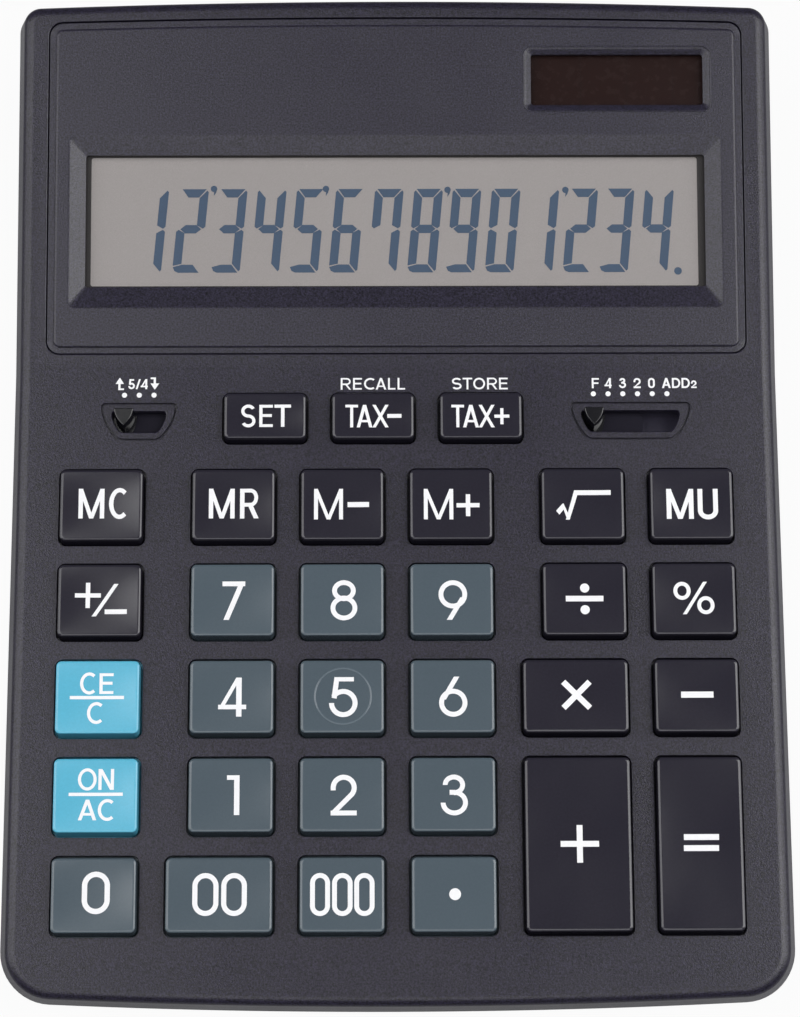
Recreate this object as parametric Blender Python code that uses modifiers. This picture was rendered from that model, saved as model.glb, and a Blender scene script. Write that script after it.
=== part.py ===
"""Desktop calculator: a wedge-shaped case with a key deck and a steeper display section.

The top face is bent along one fold line. In it, x runs to the right, s runs from the fold
towards the back, and n stands square off the face. World axes are metres, +Z up.
"""
from math import cos, pi, radians, sin

import bmesh
import bpy
from mathutils import Vector
from mathutils.geometry import interpolate_bezier

# Case: overall sizes and slopes
CASE_WIDTH = 0.155
DECK_LENGTH = 0.1258
DISPLAY_LENGTH = 0.0758
FRONT_HEIGHT = 0.0129
DECK_SLOPE = radians(3.5)
DISPLAY_TILT = radians(6.7)
FRONT_BOW = 0.0021
BACK_BOW = 0.0015
FRONT_CORNER = 0.0098
BACK_CORNER = 0.0044
LEAST_CORNER = 0.0008

# Top cover
WALL = 0.002
SKIRT_DEPTH = 0.0065
SIDE_FLARE = 0.00185
END_FLARE = 0.0008
EDGE_ROUND = 0.0013

# Fits and cuts
GAP = 0.0003
THIN_GAP = 0.00015
OVERRUN = 0.001
SINK = 0.0008
CORNER_STEPS = 4
BOW_STEPS = 6
EDGE_STEPS = 3
ROUND_SIDES = 16

# Bottom cover
PARTING_INSET = 0.0006
LIP_HEIGHT = 0.0015
LIP_WALL = 0.0012
BOTTOM_DRAFT = 0.0012
FLOOR = 0.002
RIB_WALL = 0.0015
RIB_SHORT = 0.011

# Feet
FOOT_RADIUS = 0.005
FOOT_PROUD = 0.0015
FOOT_RECESS = 0.0008
FOOT_SIDE_MARGIN = 0.0175
FOOT_FRONT_MARGIN = 0.0198
FOOT_BACK_MARGIN = 0.0178

# Keys
COLUMN_COUNT = 6
ROW_COUNT = 5
COLUMN_BRIDGE = 0.00435
ROW_BRIDGE = 0.003555
GROUP_GAP = 0.00462
KEYS_SIDE_MARGIN = 0.010105
KEYS_FRONT_MARGIN = 0.01181
KEYS_BACK_MARGIN = 0.02077
WIDE_EXTRA = 0.0042
OPENING_CORNER = 0.0017
SMALL_ROW = -0.01035
SMALL_ROW_SHIFT = 0.00615
SMALL_OPENING_DEPTH = 0.0108
KEY_PROUD = 0.00235
KEY_TAPER_SIDE = 0.0003
KEY_TAPER_END = 0.00055
KEY_EDGE = 0.0004
KEY_DISH = 0.0002
KEY_DISH_INSET = 0.0025
KEY_WALL = 0.0012
FLANGE = 0.001
FLANGE_LAP = 0.0005
PLUNGER_HALF = 0.0028
PLUNGER_CORNER = 0.0008
PLUNGER_DROP = 0.0007
KEY_TRAVEL = 0.0016
KEY_STEPS = 2

# Membrane and circuit board
SHEET = 0.0009
SHEET_CLEARANCE = 0.0005
SHEET_MARGIN = 0.0012
DOME_RADIUS = 0.0032
DOME_TOP_RADIUS = 0.0023
DOME_SIDES = 8
BOARD = 0.0016
BOARD_SHORT = 0.0014
BOARD_FRONT_LAP = 0.0008
BOARD_BACK = 0.003
CHIP_RADIUS = 0.006
CHIP_TOP_RADIUS = 0.0045
CHIP_HEIGHT = 0.0012
BOARD_CORNER = 0.0015
SHEET_SINK = 0.0004

# Slide switches
SWITCH_PITCH = 0.00297
SWITCH_BACK = -0.0088
SLOT_DEPTH = 0.00435
SLOT_TAPER = 0.00175
SLOT_END_ROOM = 0.0025
ROUNDING_SIDE_MARGIN = 0.02575
ROUNDING_STOPS = 3
DECIMAL_SIDE_MARGIN = 0.03032
DECIMAL_STOPS = 6
KNOB_WIDTH = 0.0038
KNOB_DEPTH = 0.0036
KNOB_PROUD = 0.0018
KNOB_TOP_WIDTH = 0.0034
KNOB_TOP_DEPTH = 0.0028
KNOB_SETBACK = 0.0004
KNOB_STEPS = 4
SLIDER = 0.001
SLIDER_LEFT = 0.0038
SLIDER_RIGHT = 0.0095
SLIDER_LAP = 0.0012
WIPER = 0.003

# Display fascia and shelf
FASCIA_SIDE_MARGIN = 0.0067
FASCIA_FRONT = 0.0034
FASCIA_BACK_MARGIN = 0.0041
FASCIA_BOW = 0.0010
FASCIA_CORNER = 0.0025
FASCIA = 0.002
FASCIA_RIM = 0.0012
FASCIA_RIM_DROP = 0.0003
SHELF = 0.0016
SHELF_FRONT = 0.0015
SHELF_INSET = 0.0005

# Display opening, window and panel
BEVEL_SIDE_MARGIN = 0.0044
BEVEL_FRONT_MARGIN = 0.0092
BEVEL_BACK_MARGIN = 0.0234
BEVEL_CORNER = 0.0015
BEVEL_DEPTH = 0.0013
BEVEL_SIDE = 0.0034
BEVEL_FORE = 0.0050
BEVEL_REAR = 0.0033
VIEW_CORNER = 0.0004
WINDOW_CEILING = 0.0017
WINDOW = 0.0008
WINDOW_LAP = 0.0018
PANEL = 0.002

# Solar cell
SOLAR_WIDTH = 0.0376
SOLAR_HEIGHT = 0.0130
SOLAR_SIDE_MARGIN = 0.00664
SOLAR_BACK_MARGIN = 0.0052
SOLAR_CORNER = 0.0014
SOLAR_BEVEL = 0.0012
SOLAR_BEVEL_DEPTH = 0.0011
SOLAR_LAP = 0.0015
SOLAR_CEILING = 0.0014
SOLAR_WINDOW = 0.0006
SOLAR_CELL = 0.0011

# Ribbon and lead
RIBBON = 0.0004
RIBBON_HALF_WIDTH = 0.030
RIBBON_LAP = 0.004
RIBBON_STEPS = 8
RIBBON_REACH = 0.005
LEAD_RADIUS = 0.0006
LEAD_DROP = 0.012
LEAD_SPREAD = 0.020
LEAD_POINTS = 22

# Case screws, posts and bosses
SCREW_HEAD_RADIUS = 0.0023
SCREW_HEAD = 0.0016
SCREW_RADIUS = 0.0011
SCREW_LENGTH = 0.006
SCREW_SUNK = 0.0005
SCREW_SIDES = 12
POST_RADIUS = 0.0022
BOSS_RADIUS = 0.0032
BOSS_TOP = 0.0060
FRONT_POST_SIDE = 0.0155
FRONT_POST_MARGIN = 0.0065
MIDDLE_POST_SIDE = 0.0071
REAR_POST_SIDE = 0.0095
REAR_POST_MARGIN = 0.0068

# Button cell and battery compartment
BAY_SIDE_MARGIN = 0.0475
BAY_BACK_MARGIN = 0.0378
BAY_HALF_LENGTH = 0.014
BAY_HALF_DEPTH = 0.008
BAY_WALL = 0.0015
CELL_RADIUS = 0.0058
CELL_HEIGHT = 0.0054
CELL_SHIFT = 0.0065
CELL_HEADROOM = 0.0016
CONTACT = 0.0003
CONTACT_WIDTH = 0.004
CONTACT_RISE = 0.002
LID = 0.002
LID_POST_SHIFT = 0.0075
LID_SCREW_HEAD = 0.0008
LID_SCREW_SUNK = 0.0003

# Places of the modelling aids
PARTS = "desktop_calculator"
CUTTERS = "cutters"
FOLD_INDEX = 2 * (CORNER_STEPS + 1) + BOW_STEPS
MERGE = 0.00001
SHARP_ANGLE = radians(50)

# Values worked out from those above
DISPLAY_SLOPE = DECK_SLOPE + DISPLAY_TILT
FOLD_Z = FRONT_HEIGHT + DECK_LENGTH * sin(DECK_SLOPE)
FRONT_REACH = (DECK_LENGTH + FRONT_BOW) * cos(DECK_SLOPE) - SKIRT_DEPTH * sin(DECK_SLOPE)
BACK_REACH = (DISPLAY_LENGTH + BACK_BOW) * cos(DISPLAY_SLOPE) + SKIRT_DEPTH * sin(DISPLAY_SLOPE)
FOLD_Y = (FRONT_REACH - BACK_REACH) / 2
FLOOR_OUT = FOOT_PROUD
FLOOR_IN = FOOT_PROUD + FLOOR
FLANGE_TOP = -WALL - GAP
FLANGE_FOOT = FLANGE_TOP - FLANGE
PLUNGER_FOOT = FLANGE_FOOT - PLUNGER_DROP
SHEET_TOP = FLANGE_FOOT - KEY_TRAVEL - SHEET_CLEARANCE
BOARD_TOP = SHEET_TOP - SHEET - GAP
BOARD_FOOT = BOARD_TOP - BOARD
FASCIA_HALF_WIDTH = CASE_WIDTH / 2 - FASCIA_SIDE_MARGIN
FASCIA_BACK = DISPLAY_LENGTH - FASCIA_BACK_MARGIN
BEVEL_HALF_WIDTH = FASCIA_HALF_WIDTH - BEVEL_SIDE_MARGIN
BEVEL_FRONT = FASCIA_FRONT + BEVEL_FRONT_MARGIN
BEVEL_BACK = FASCIA_BACK - BEVEL_BACK_MARGIN
VIEW_HALF_WIDTH = BEVEL_HALF_WIDTH - BEVEL_SIDE
VIEW_FRONT = BEVEL_FRONT + BEVEL_FORE
VIEW_BACK = BEVEL_BACK - BEVEL_REAR
SOLAR_RIGHT = FASCIA_HALF_WIDTH - SOLAR_SIDE_MARGIN
SOLAR_LEFT = SOLAR_RIGHT - SOLAR_WIDTH
SOLAR_BACK = FASCIA_BACK - SOLAR_BACK_MARGIN
SOLAR_FRONT = SOLAR_BACK - SOLAR_HEIGHT
BAY_X = BAY_SIDE_MARGIN - CASE_WIDTH / 2
BAY_S = DISPLAY_LENGTH - BAY_BACK_MARGIN
ROUNDING_CENTRE = ROUNDING_SIDE_MARGIN - CASE_WIDTH / 2
DECIMAL_CENTRE = CASE_WIDTH / 2 - DECIMAL_SIDE_MARGIN
SHELF_TOP = -FASCIA - GAP
SHELF_FOOT = SHELF_TOP - SHELF
WINDOW_TOP = -WINDOW_CEILING - THIN_GAP
PANEL_TOP = WINDOW_TOP - WINDOW - THIN_GAP
SOLAR_WINDOW_TOP = -SOLAR_CEILING - THIN_GAP
SOLAR_CELL_TOP = SOLAR_WINDOW_TOP - SOLAR_WINDOW - THIN_GAP
PANEL_EDGE = WINDOW_LAP - GAP

PLASTIC_CHARCOAL = ("charcoal_plastic", (0.055, 0.053, 0.065), 0.55, 0.0)
PLASTIC_BLACK = ("black_key_plastic", (0.028, 0.027, 0.035), 0.35, 0.0)
PLASTIC_SLATE = ("slate_key_plastic", (0.085, 0.118, 0.138), 0.38, 0.0)
PLASTIC_CYAN = ("cyan_key_plastic", (0.115, 0.472, 0.680), 0.38, 0.0)
PLASTIC_KNOB = ("knob_plastic", (0.018, 0.018, 0.021), 0.4, 0.0)
CLEAR_WINDOW = ("clear_acrylic", (0.90, 0.92, 0.92), 0.08, 0.0)
PANEL_GLASS = ("display_panel", (0.34, 0.31, 0.29), 0.3, 0.0)
CELL_DARK = ("solar_cell", (0.022, 0.013, 0.012), 0.3, 0.0)
BOARD_GREEN = ("circuit_board", (0.035, 0.16, 0.06), 0.45, 0.0)
RUBBER_GREY = ("membrane_rubber", (0.30, 0.31, 0.32), 0.8, 0.0)
RUBBER_BLACK = ("foot_rubber", (0.02, 0.02, 0.02), 0.85, 0.0)
EPOXY = ("epoxy_blob", (0.01, 0.01, 0.01), 0.3, 0.0)
STEEL = ("screw_steel", (0.45, 0.45, 0.46), 0.35, 1.0)
NICKEL = ("contact_nickel", (0.62, 0.61, 0.58), 0.3, 1.0)
RIBBON_FILM = ("ribbon_film", (0.36, 0.20, 0.06), 0.4, 0.0)
LEAD_SLEEVE = ("lead_sleeve", (0.35, 0.02, 0.02), 0.5, 0.0)

# Key openings share what the margins, bridges and group gaps leave of the deck
KEYS_WIDTH = CASE_WIDTH - 2 * KEYS_SIDE_MARGIN - 2 * GROUP_GAP
KEYS_LENGTH = DECK_LENGTH - KEYS_FRONT_MARGIN - KEYS_BACK_MARGIN
OPENING_WIDTH = (KEYS_WIDTH - (COLUMN_COUNT - 1) * COLUMN_BRIDGE) / COLUMN_COUNT
OPENING_DEPTH = (KEYS_LENGTH - (ROW_COUNT - 1) * ROW_BRIDGE) / ROW_COUNT
WIDE_OPENING = OPENING_WIDTH + WIDE_EXTRA

# Key columns from the left and rows from the back
COLUMN_PITCH = OPENING_WIDTH + COLUMN_BRIDGE
GROUP_PITCH = COLUMN_PITCH + GROUP_GAP
COLUMN_STEPS = (GROUP_PITCH, COLUMN_PITCH, COLUMN_PITCH, GROUP_PITCH, COLUMN_PITCH)
COLUMNS = [sum(COLUMN_STEPS[:i]) - sum(COLUMN_STEPS) / 2 for i in range(COLUMN_COUNT)]
ROW_PITCH = OPENING_DEPTH + ROW_BRIDGE
FIRST_ROW = -KEYS_BACK_MARGIN - OPENING_DEPTH / 2
ROWS = [FIRST_ROW - ROW_PITCH * row for row in range(ROW_COUNT)]
WIDE_SHIFT = -WIDE_EXTRA / 2
TALL_OPENING = OPENING_DEPTH + ROW_PITCH
TALL_ROW = (ROWS[3] + ROWS[4]) / 2

# Pieces placed by the keys
SHEET_FRONT = ROWS[-1] - OPENING_DEPTH / 2 - SHEET_MARGIN
BOARD_HALF_WIDTH = COLUMNS[-1] + OPENING_WIDTH / 2 - BOARD_SHORT
BOARD_FRONT = SHEET_FRONT - BOARD_FRONT_LAP
RIB_HALF_WIDTH = BOARD_HALF_WIDTH - RIB_SHORT
RIB_PLACES = ROWS[::2]
CHIP_PLACE = (COLUMNS[3], (ROWS[0] + ROWS[1]) / 2)

# Case posts and feet, as half distances apart and places along the faces
FRONT_POST = (CASE_WIDTH / 2 - FRONT_POST_SIDE, FRONT_POST_MARGIN - DECK_LENGTH)
MIDDLE_POST = (CASE_WIDTH / 2 - MIDDLE_POST_SIDE, (ROWS[1] + ROWS[2]) / 2)
REAR_POST = (CASE_WIDTH / 2 - REAR_POST_SIDE, DISPLAY_LENGTH - REAR_POST_MARGIN)
FOOT_X = CASE_WIDTH / 2 - FOOT_SIDE_MARGIN
FOOT_FRONT = FOOT_FRONT_MARGIN - DECK_LENGTH
FOOT_BACK = DISPLAY_LENGTH - FOOT_BACK_MARGIN


def clear_scene():
    for thing in list(bpy.data.objects):
        bpy.data.objects.remove(thing, do_unlink=True)


def collection(name):
    group = bpy.data.collections.new(name)
    bpy.context.scene.collection.children.link(group)
    return group


def material(finish):
    name, colour, roughness, metallic = finish
    made = bpy.data.materials.get(name)
    if made is None:
        made = bpy.data.materials.new(name)
        made.use_nodes = True
        shader = made.node_tree.nodes["Principled BSDF"]
        shader.inputs["Base Color"].default_value = (*colour, 1.0)
        shader.inputs["Roughness"].default_value = roughness
        shader.inputs["Metallic"].default_value = metallic
    return made


def on_slope(slope, x, s, n):
    """World point at width x, s along and n off the plane that leaves the fold at the slope."""
    return Vector((x, FOLD_Y + s * cos(slope) - n * sin(slope),
                   FOLD_Z + s * sin(slope) + n * cos(slope)))


def place(x, s, n):
    """World point off the bent top face, mitred where s is zero."""
    if s == 0:
        return on_slope(DECK_SLOPE + DISPLAY_TILT / 2, x, s, n / cos(DISPLAY_TILT / 2))
    return on_slope(DISPLAY_SLOPE if s > 0 else DECK_SLOPE, x, s, n)


def arc(x, s, radius, turns, steps):
    """Quarter turn of points, counter-clockwise from a start given in quarter turns."""
    angles = [pi / 2 * (turns + i / steps) for i in range(steps + 1)]
    return [(x + radius * cos(a), s + radius * sin(a)) for a in angles]


def outline(half, front, back, front_corner, back_corner, front_bow=0.0, back_bow=0.0,
            folded=False, steps=CORNER_STEPS):
    """Counter-clockwise rounded outline; a folded one also has both points of the fold line."""
    along = [1 - 2 * i / BOW_STEPS for i in range(1, BOW_STEPS)]
    rear = arc(half - back_corner, back - back_corner, back_corner, 0, steps)
    rear += [(share * (half - back_corner), back) for share in along if back_bow]
    rear += arc(back_corner - half, back - back_corner, back_corner, 1, steps)
    fore = arc(front_corner - half, front + front_corner, front_corner, 2, steps)
    fore += [(-share * (half - front_corner), front) for share in along if front_bow]
    fore += arc(half - front_corner, front + front_corner, front_corner, 3, steps)
    rear = [(x, s + back_bow * (1 - (x / half) ** 2)) for x, s in rear]
    fore = [(x, s - front_bow * (1 - (x / half) ** 2)) for x, s in fore]
    if folded:
        return [(half, 0.0)] + rear + [(-half, 0.0)] + fore
    return rear + fore


def rectangle(half_x, half_s, corner, steps=KEY_STEPS):
    return outline(half_x, -half_s, half_s, corner, corner, steps=steps)


def shifted(points, dx, ds=0.0):
    return [(x + dx, s + ds) for x, s in points]


def case_outline(side, end):
    """Outline of the case, drawn in by side and end from the foot of the skirt."""
    shrink = (side + end) / 2
    return outline(CASE_WIDTH / 2 - side, end - DECK_LENGTH, DISPLAY_LENGTH - end,
                   max(FRONT_CORNER - shrink, LEAST_CORNER), max(BACK_CORNER - shrink, LEAST_CORNER),
                   FRONT_BOW, BACK_BOW, folded=True)


def case_ring(inset, n):
    """Ring round the case at height n, drawn in from the flared skirt by the inset."""
    rise = 1 + n / SKIRT_DEPTH
    points = case_outline(inset + SIDE_FLARE * rise, inset + END_FLARE * rise)
    return [place(x, s, n) for x, s in points]


def parting_ring(inset, n):
    """Ring at height n, drawn in from the foot of the skirt, for the bottom cover."""
    return [place(x, s, n) for x, s in case_outline(inset, inset)]


def dropped(ring, z):
    return [Vector((point.x, point.y, z)) for point in ring]


def flat_ring(points, n):
    return [Vector((x, s, n)) for x, s in points]


def add_loft(bm, rings, fold=None):
    """Closed body through rings of points; fold is the index that splits both caps in two."""
    rows = [[bm.verts.new(point) for point in ring] for ring in rings]
    count = len(rings[0])
    for lower, upper in zip(rows, rows[1:]):
        for i in range(count):
            j = (i + 1) % count
            bm.faces.new((lower[i], lower[j], upper[j], upper[i]))
    for row, turned in ((rows[0], True), (rows[-1], False)):
        for face in [row] if fold is None else [row[:fold + 1], row[fold:] + row[:1]]:
            bm.faces.new(face[::-1] if turned else face)


def add_prism(bm, points, low, high):
    """Flat outline extruded from one height to another."""
    face = bm.faces.new([bm.verts.new(point) for point in flat_ring(points, low)])
    made = bmesh.ops.extrude_face_region(bm, geom=[face])
    raised = [item for item in made["geom"] if isinstance(item, bmesh.types.BMVert)]
    bmesh.ops.translate(bm, verts=raised, vec=(0.0, 0.0, high - low))


def add_box(bm, low, high):
    low, high = Vector(low), Vector(high)
    made = bmesh.ops.create_cube(bm, size=1.0)
    bmesh.ops.scale(bm, verts=made["verts"], vec=high - low)
    bmesh.ops.translate(bm, verts=made["verts"], vec=(low + high) / 2)


def add_cylinder(bm, x, y, low, high, radius, top_radius=None, sides=ROUND_SIDES):
    made = bmesh.ops.create_cone(bm, cap_ends=True, segments=sides, radius1=radius,
                                 radius2=top_radius or radius, depth=high - low)
    bmesh.ops.translate(bm, verts=made["verts"], vec=(x, y, (low + high) / 2))


def finished(name, bm):
    """The mesh of a bmesh, with its faces turned outwards and its round sides smooth."""
    bmesh.ops.recalc_face_normals(bm, faces=bm.faces)
    mesh = bpy.data.meshes.new(name)
    bm.to_mesh(mesh)
    bm.free()
    mesh.shade_smooth()
    mesh.set_sharp_from_angle(angle=SHARP_ANGLE)
    return mesh


def add_part(name, shape, finish, parent=None, location=(0.0, 0.0, 0.0)):
    thing = bpy.data.objects.new(name, shape)
    bpy.data.collections[PARTS].objects.link(thing)
    if not shape.materials:
        shape.materials.append(material(finish))
    thing.parent = parent
    thing.location = location
    return thing


def add_cutter(name, bm, parent=None):
    thing = bpy.data.objects.new(name, finished(name, bm))
    bpy.data.collections[CUTTERS].objects.link(thing)
    thing.hide_render = True
    thing.display_type = "WIRE"
    thing.parent = parent
    return thing


def boolean(thing, other, operation="DIFFERENCE"):
    cut = thing.modifiers.new(other.name, "BOOLEAN")
    cut.operation = operation
    cut.object = other


def add_frame(name, slope):
    """Empty at the fold whose local x, y and z are the x, s and n of one stretch of the face."""
    frame = bpy.data.objects.new(name, None)
    bpy.data.collections[PARTS].objects.link(frame)
    frame.location = (0.0, FOLD_Y, FOLD_Z)
    frame.rotation_euler = (slope, 0.0, 0.0)
    return frame


def key_layout():
    """Name, centre and opening size of every key, with its finish."""
    plain = (OPENING_WIDTH, OPENING_DEPTH)
    wide = (WIDE_OPENING, OPENING_DEPTH)
    tall = (OPENING_WIDTH, TALL_OPENING)
    large = (WIDE_OPENING, TALL_OPENING)
    small = (OPENING_WIDTH, SMALL_OPENING_DEPTH)
    keys = []
    for name, column in (("key_set", 1), ("key_tax_minus", 2), ("key_tax_plus", 3)):
        keys.append((name, COLUMNS[column] + SMALL_ROW_SHIFT, SMALL_ROW, small, PLASTIC_BLACK))
    names = (("key_mc", "key_mr", "key_m_minus", "key_m_plus", "key_square_root", "key_mu"),
             ("key_sign", "key_7", "key_8", "key_9", "key_divide", "key_percent"),
             ("key_ce_c", "key_4", "key_5", "key_6", "key_multiply", "key_minus"),
             ("key_on_ac", "key_1", "key_2", "key_3", "key_plus", "key_equals"),
             ("key_0", "key_00", "key_000", "key_point"))
    for row, line in enumerate(names):
        for column, name in enumerate(line):
            x, s, size, finish = COLUMNS[column], ROWS[row], plain, PLASTIC_BLACK
            if name in ("key_ce_c", "key_on_ac"):
                finish = PLASTIC_CYAN
            elif row > 0 and column in (1, 2, 3) or row == len(ROWS) - 1:
                finish = PLASTIC_SLATE
            if name in ("key_multiply", "key_00"):
                x, size = x + WIDE_SHIFT, wide
            elif name == "key_plus":
                x, s, size = x + WIDE_SHIFT, TALL_ROW, large
            elif name == "key_equals":
                s, size = TALL_ROW, tall
            keys.append((name, x, s, size, finish))
    return keys


def key_shape(name, opening):
    """Key cap with a dished face, a hollow back, a holding flange and a plunger."""
    half_x, half_s = (side / 2 - GAP for side in opening)
    flange_x, flange_s = (side / 2 + FLANGE_LAP for side in opening)
    corner = OPENING_CORNER - GAP
    face_x, face_s = half_x - KEY_TAPER_SIDE, half_s - KEY_TAPER_END
    dish = KEY_EDGE + KEY_DISH_INSET
    ceiling = KEY_PROUD - KEY_DISH - KEY_WALL
    sections = (
        (PLUNGER_HALF, PLUNGER_HALF, PLUNGER_CORNER, PLUNGER_FOOT),
        (PLUNGER_HALF, PLUNGER_HALF, PLUNGER_CORNER, ceiling),
        (half_x - KEY_WALL, half_s - KEY_WALL, PLUNGER_CORNER, ceiling),
        (half_x - KEY_WALL, half_s - KEY_WALL, PLUNGER_CORNER, FLANGE_FOOT),
        (flange_x, flange_s, corner, FLANGE_FOOT),
        (flange_x, flange_s, corner, FLANGE_TOP),
        (half_x, half_s, corner, FLANGE_TOP),
        (face_x, face_s, corner, KEY_PROUD - KEY_EDGE),
        (face_x - KEY_EDGE, face_s - KEY_EDGE, corner - KEY_EDGE, KEY_PROUD),
        (face_x - dish, face_s - dish, PLUNGER_CORNER, KEY_PROUD - KEY_DISH))
    bm = bmesh.new()
    add_loft(bm, [flat_ring(rectangle(x, s, c), n) for x, s, c, n in sections])
    return finished(name, bm)


def add_keys(deck):
    shapes = {}
    for name, x, s, opening, finish in key_layout():
        kind = (opening, finish[0])
        if kind not in shapes:
            shapes[kind] = key_shape(name, opening)
        add_part(name, shapes[kind], finish, deck, (x, s, 0.0))


def slot_outline(half):
    """Switch slot: straight back and front edges and sides that curve in towards the front."""
    shares = [i / KNOB_STEPS for i in range(KNOB_STEPS + 1)]
    left = [(SLOT_TAPER * t * t - half, SWITCH_BACK - SLOT_DEPTH * t) for t in shares]
    return left + [(-x, s) for x, s in reversed(left)]


def knob_outline(width, depth, back):
    """Shield with a straight back edge and sides that meet in a tip at the front."""
    shares = [i / KNOB_STEPS for i in range(KNOB_STEPS + 1)]
    left = [(-width / 2 * (1 - t * t), back - depth * t) for t in shares]
    return left + [(-x, s) for x, s in reversed(left[:-1])]


def switches():
    """Name, slot centre and travel of each slide switch."""
    return (("rounding_switch_knob", ROUNDING_CENTRE, SWITCH_PITCH * (ROUNDING_STOPS - 1)),
            ("decimal_switch_knob", DECIMAL_CENTRE, SWITCH_PITCH * (DECIMAL_STOPS - 1)))


def add_switches(deck):
    middle = SWITCH_BACK - SLOT_DEPTH / 2
    reach = SLOT_DEPTH / 2 + SLIDER_LAP
    back = SWITCH_BACK - KNOB_SETBACK
    slider_foot = FLANGE_TOP - SLIDER
    for name, centre, travel in switches():
        bm = bmesh.new()
        add_box(bm, (-SLIDER_LEFT, middle - reach, slider_foot), (SLIDER_RIGHT, middle + reach, FLANGE_TOP))
        knob = add_part(name, finished(name, bm), PLASTIC_KNOB, deck, (centre - travel / 2, 0.0, 0.0))
        bm = bmesh.new()
        foot = knob_outline(KNOB_WIDTH, KNOB_DEPTH, back)
        top = knob_outline(KNOB_TOP_WIDTH, KNOB_TOP_DEPTH, back)
        add_loft(bm, [flat_ring(foot, FLANGE_TOP - SLIDER / 2), flat_ring(foot, 0.0),
                      flat_ring(top, KNOB_PROUD)])
        grip = add_cutter(name + "_grip", bm, deck)
        bm = bmesh.new()
        add_box(bm, (-WIPER / 2, middle - WIPER / 2, BOARD_TOP + GAP),
                (WIPER / 2, middle + WIPER / 2, FLANGE_TOP - SLIDER / 2))
        wiper = add_cutter(name + "_wiper", bm, deck)
        grip.location = wiper.location = knob.location
        boolean(knob, grip, "UNION")
        boolean(knob, wiper, "UNION")


def post_spots():
    """Name, x, s and whether it hangs from the shelf, for each case screw."""
    spots = []
    for label, (x, s) in (("front", FRONT_POST), ("middle", MIDDLE_POST), ("rear", REAR_POST)):
        for side, sign in (("left", -1), ("right", 1)):
            spots.append((f"case_screw_{label}_{side}", sign * x, s, label == "rear"))
    return spots


def screw_levels():
    """Heights of a case screw's head foot, shoulder and tip."""
    foot = FLOOR_OUT + SCREW_SUNK
    return foot, foot + SCREW_HEAD, foot + SCREW_HEAD + SCREW_LENGTH


def view_outline(margin, corner=VIEW_CORNER):
    return outline(VIEW_HALF_WIDTH + margin, VIEW_FRONT - margin, VIEW_BACK + margin, corner, corner)


def solar_outline(margin, corner):
    half = (SOLAR_RIGHT - SOLAR_LEFT) / 2 + margin
    points = outline(half, SOLAR_FRONT - margin, SOLAR_BACK + margin, corner, corner)
    return shifted(points, (SOLAR_LEFT + SOLAR_RIGHT) / 2)


def fascia_outline(margin):
    corner = FASCIA_CORNER + margin
    return outline(FASCIA_HALF_WIDTH + margin, FASCIA_FRONT - margin, FASCIA_BACK + margin,
                   corner, corner, back_bow=FASCIA_BOW)


def add_top_cover(deck, display):
    bm = bmesh.new()
    turns = [pi / 2 * i / EDGE_STEPS for i in range(EDGE_STEPS + 1)]
    rings = [case_ring(0.0, -SKIRT_DEPTH)]
    rings += [case_ring(EDGE_ROUND * (1 - cos(a)), EDGE_ROUND * (sin(a) - 1)) for a in turns]
    add_loft(bm, rings, FOLD_INDEX)
    cover = add_part("top_cover", finished("top_cover", bm), PLASTIC_CHARCOAL)

    bm = bmesh.new()
    add_loft(bm, [case_ring(WALL, -SKIRT_DEPTH - OVERRUN), case_ring(WALL, -WALL)], FOLD_INDEX)
    boolean(cover, add_cutter("top_cavity", bm))

    bm = bmesh.new()
    inset = (SIDE_FLARE + END_FLARE) / 2 + SHELF_INSET
    shelf = outline(CASE_WIDTH / 2 - SIDE_FLARE - SHELF_INSET, SHELF_FRONT,
                    DISPLAY_LENGTH - END_FLARE - SHELF_INSET, LEAST_CORNER,
                    max(BACK_CORNER - inset, LEAST_CORNER), back_bow=BACK_BOW)
    add_prism(bm, shelf, SHELF_FOOT, SINK - WALL)
    boolean(cover, add_cutter("fascia_shelf", bm, display), "UNION")

    bm = bmesh.new()
    for name, x, s, on_shelf in post_spots():
        depth = SHELF / 2 - SHELF_TOP if on_shelf else WALL - SINK
        surface = place(x, s, 0.0)
        add_cylinder(bm, x, surface.y, BOSS_TOP + GAP, surface.z - depth, POST_RADIUS)
    boolean(cover, add_cutter("screw_posts", bm), "UNION")

    bm = bmesh.new()
    add_prism(bm, fascia_outline(GAP), SHELF_TOP, OVERRUN)
    boolean(cover, add_cutter("fascia_pocket", bm, display))

    bm = bmesh.new()
    for name, x, s, opening, finish in key_layout():
        points = shifted(rectangle(opening[0] / 2, opening[1] / 2, OPENING_CORNER), x, s)
        add_prism(bm, points, -WALL - OVERRUN, OVERRUN)
    for name, centre, travel in switches():
        points = shifted(slot_outline(travel / 2 + SLOT_END_ROOM), centre)
        add_prism(bm, points, -WALL - OVERRUN, OVERRUN)
    boolean(cover, add_cutter("key_openings", bm, deck))

    bm = bmesh.new()
    add_prism(bm, view_outline(WINDOW_LAP), SHELF_FOOT - OVERRUN, SHELF_TOP + OVERRUN)
    add_prism(bm, solar_outline(SOLAR_LAP - SOLAR_BEVEL, SOLAR_CORNER), SHELF_FOOT - OVERRUN,
             SHELF_TOP + OVERRUN)
    boolean(cover, add_cutter("shelf_openings", bm, display))

    bm = bmesh.new()
    tip = screw_levels()[2]
    for name, x, s, on_shelf in post_spots():
        add_cylinder(bm, x, place(x, s, 0.0).y, BOSS_TOP - OVERRUN, tip + GAP, SCREW_RADIUS + GAP,
                     sides=SCREW_SIDES)
    boolean(cover, add_cutter("pilot_holes", bm))


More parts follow.
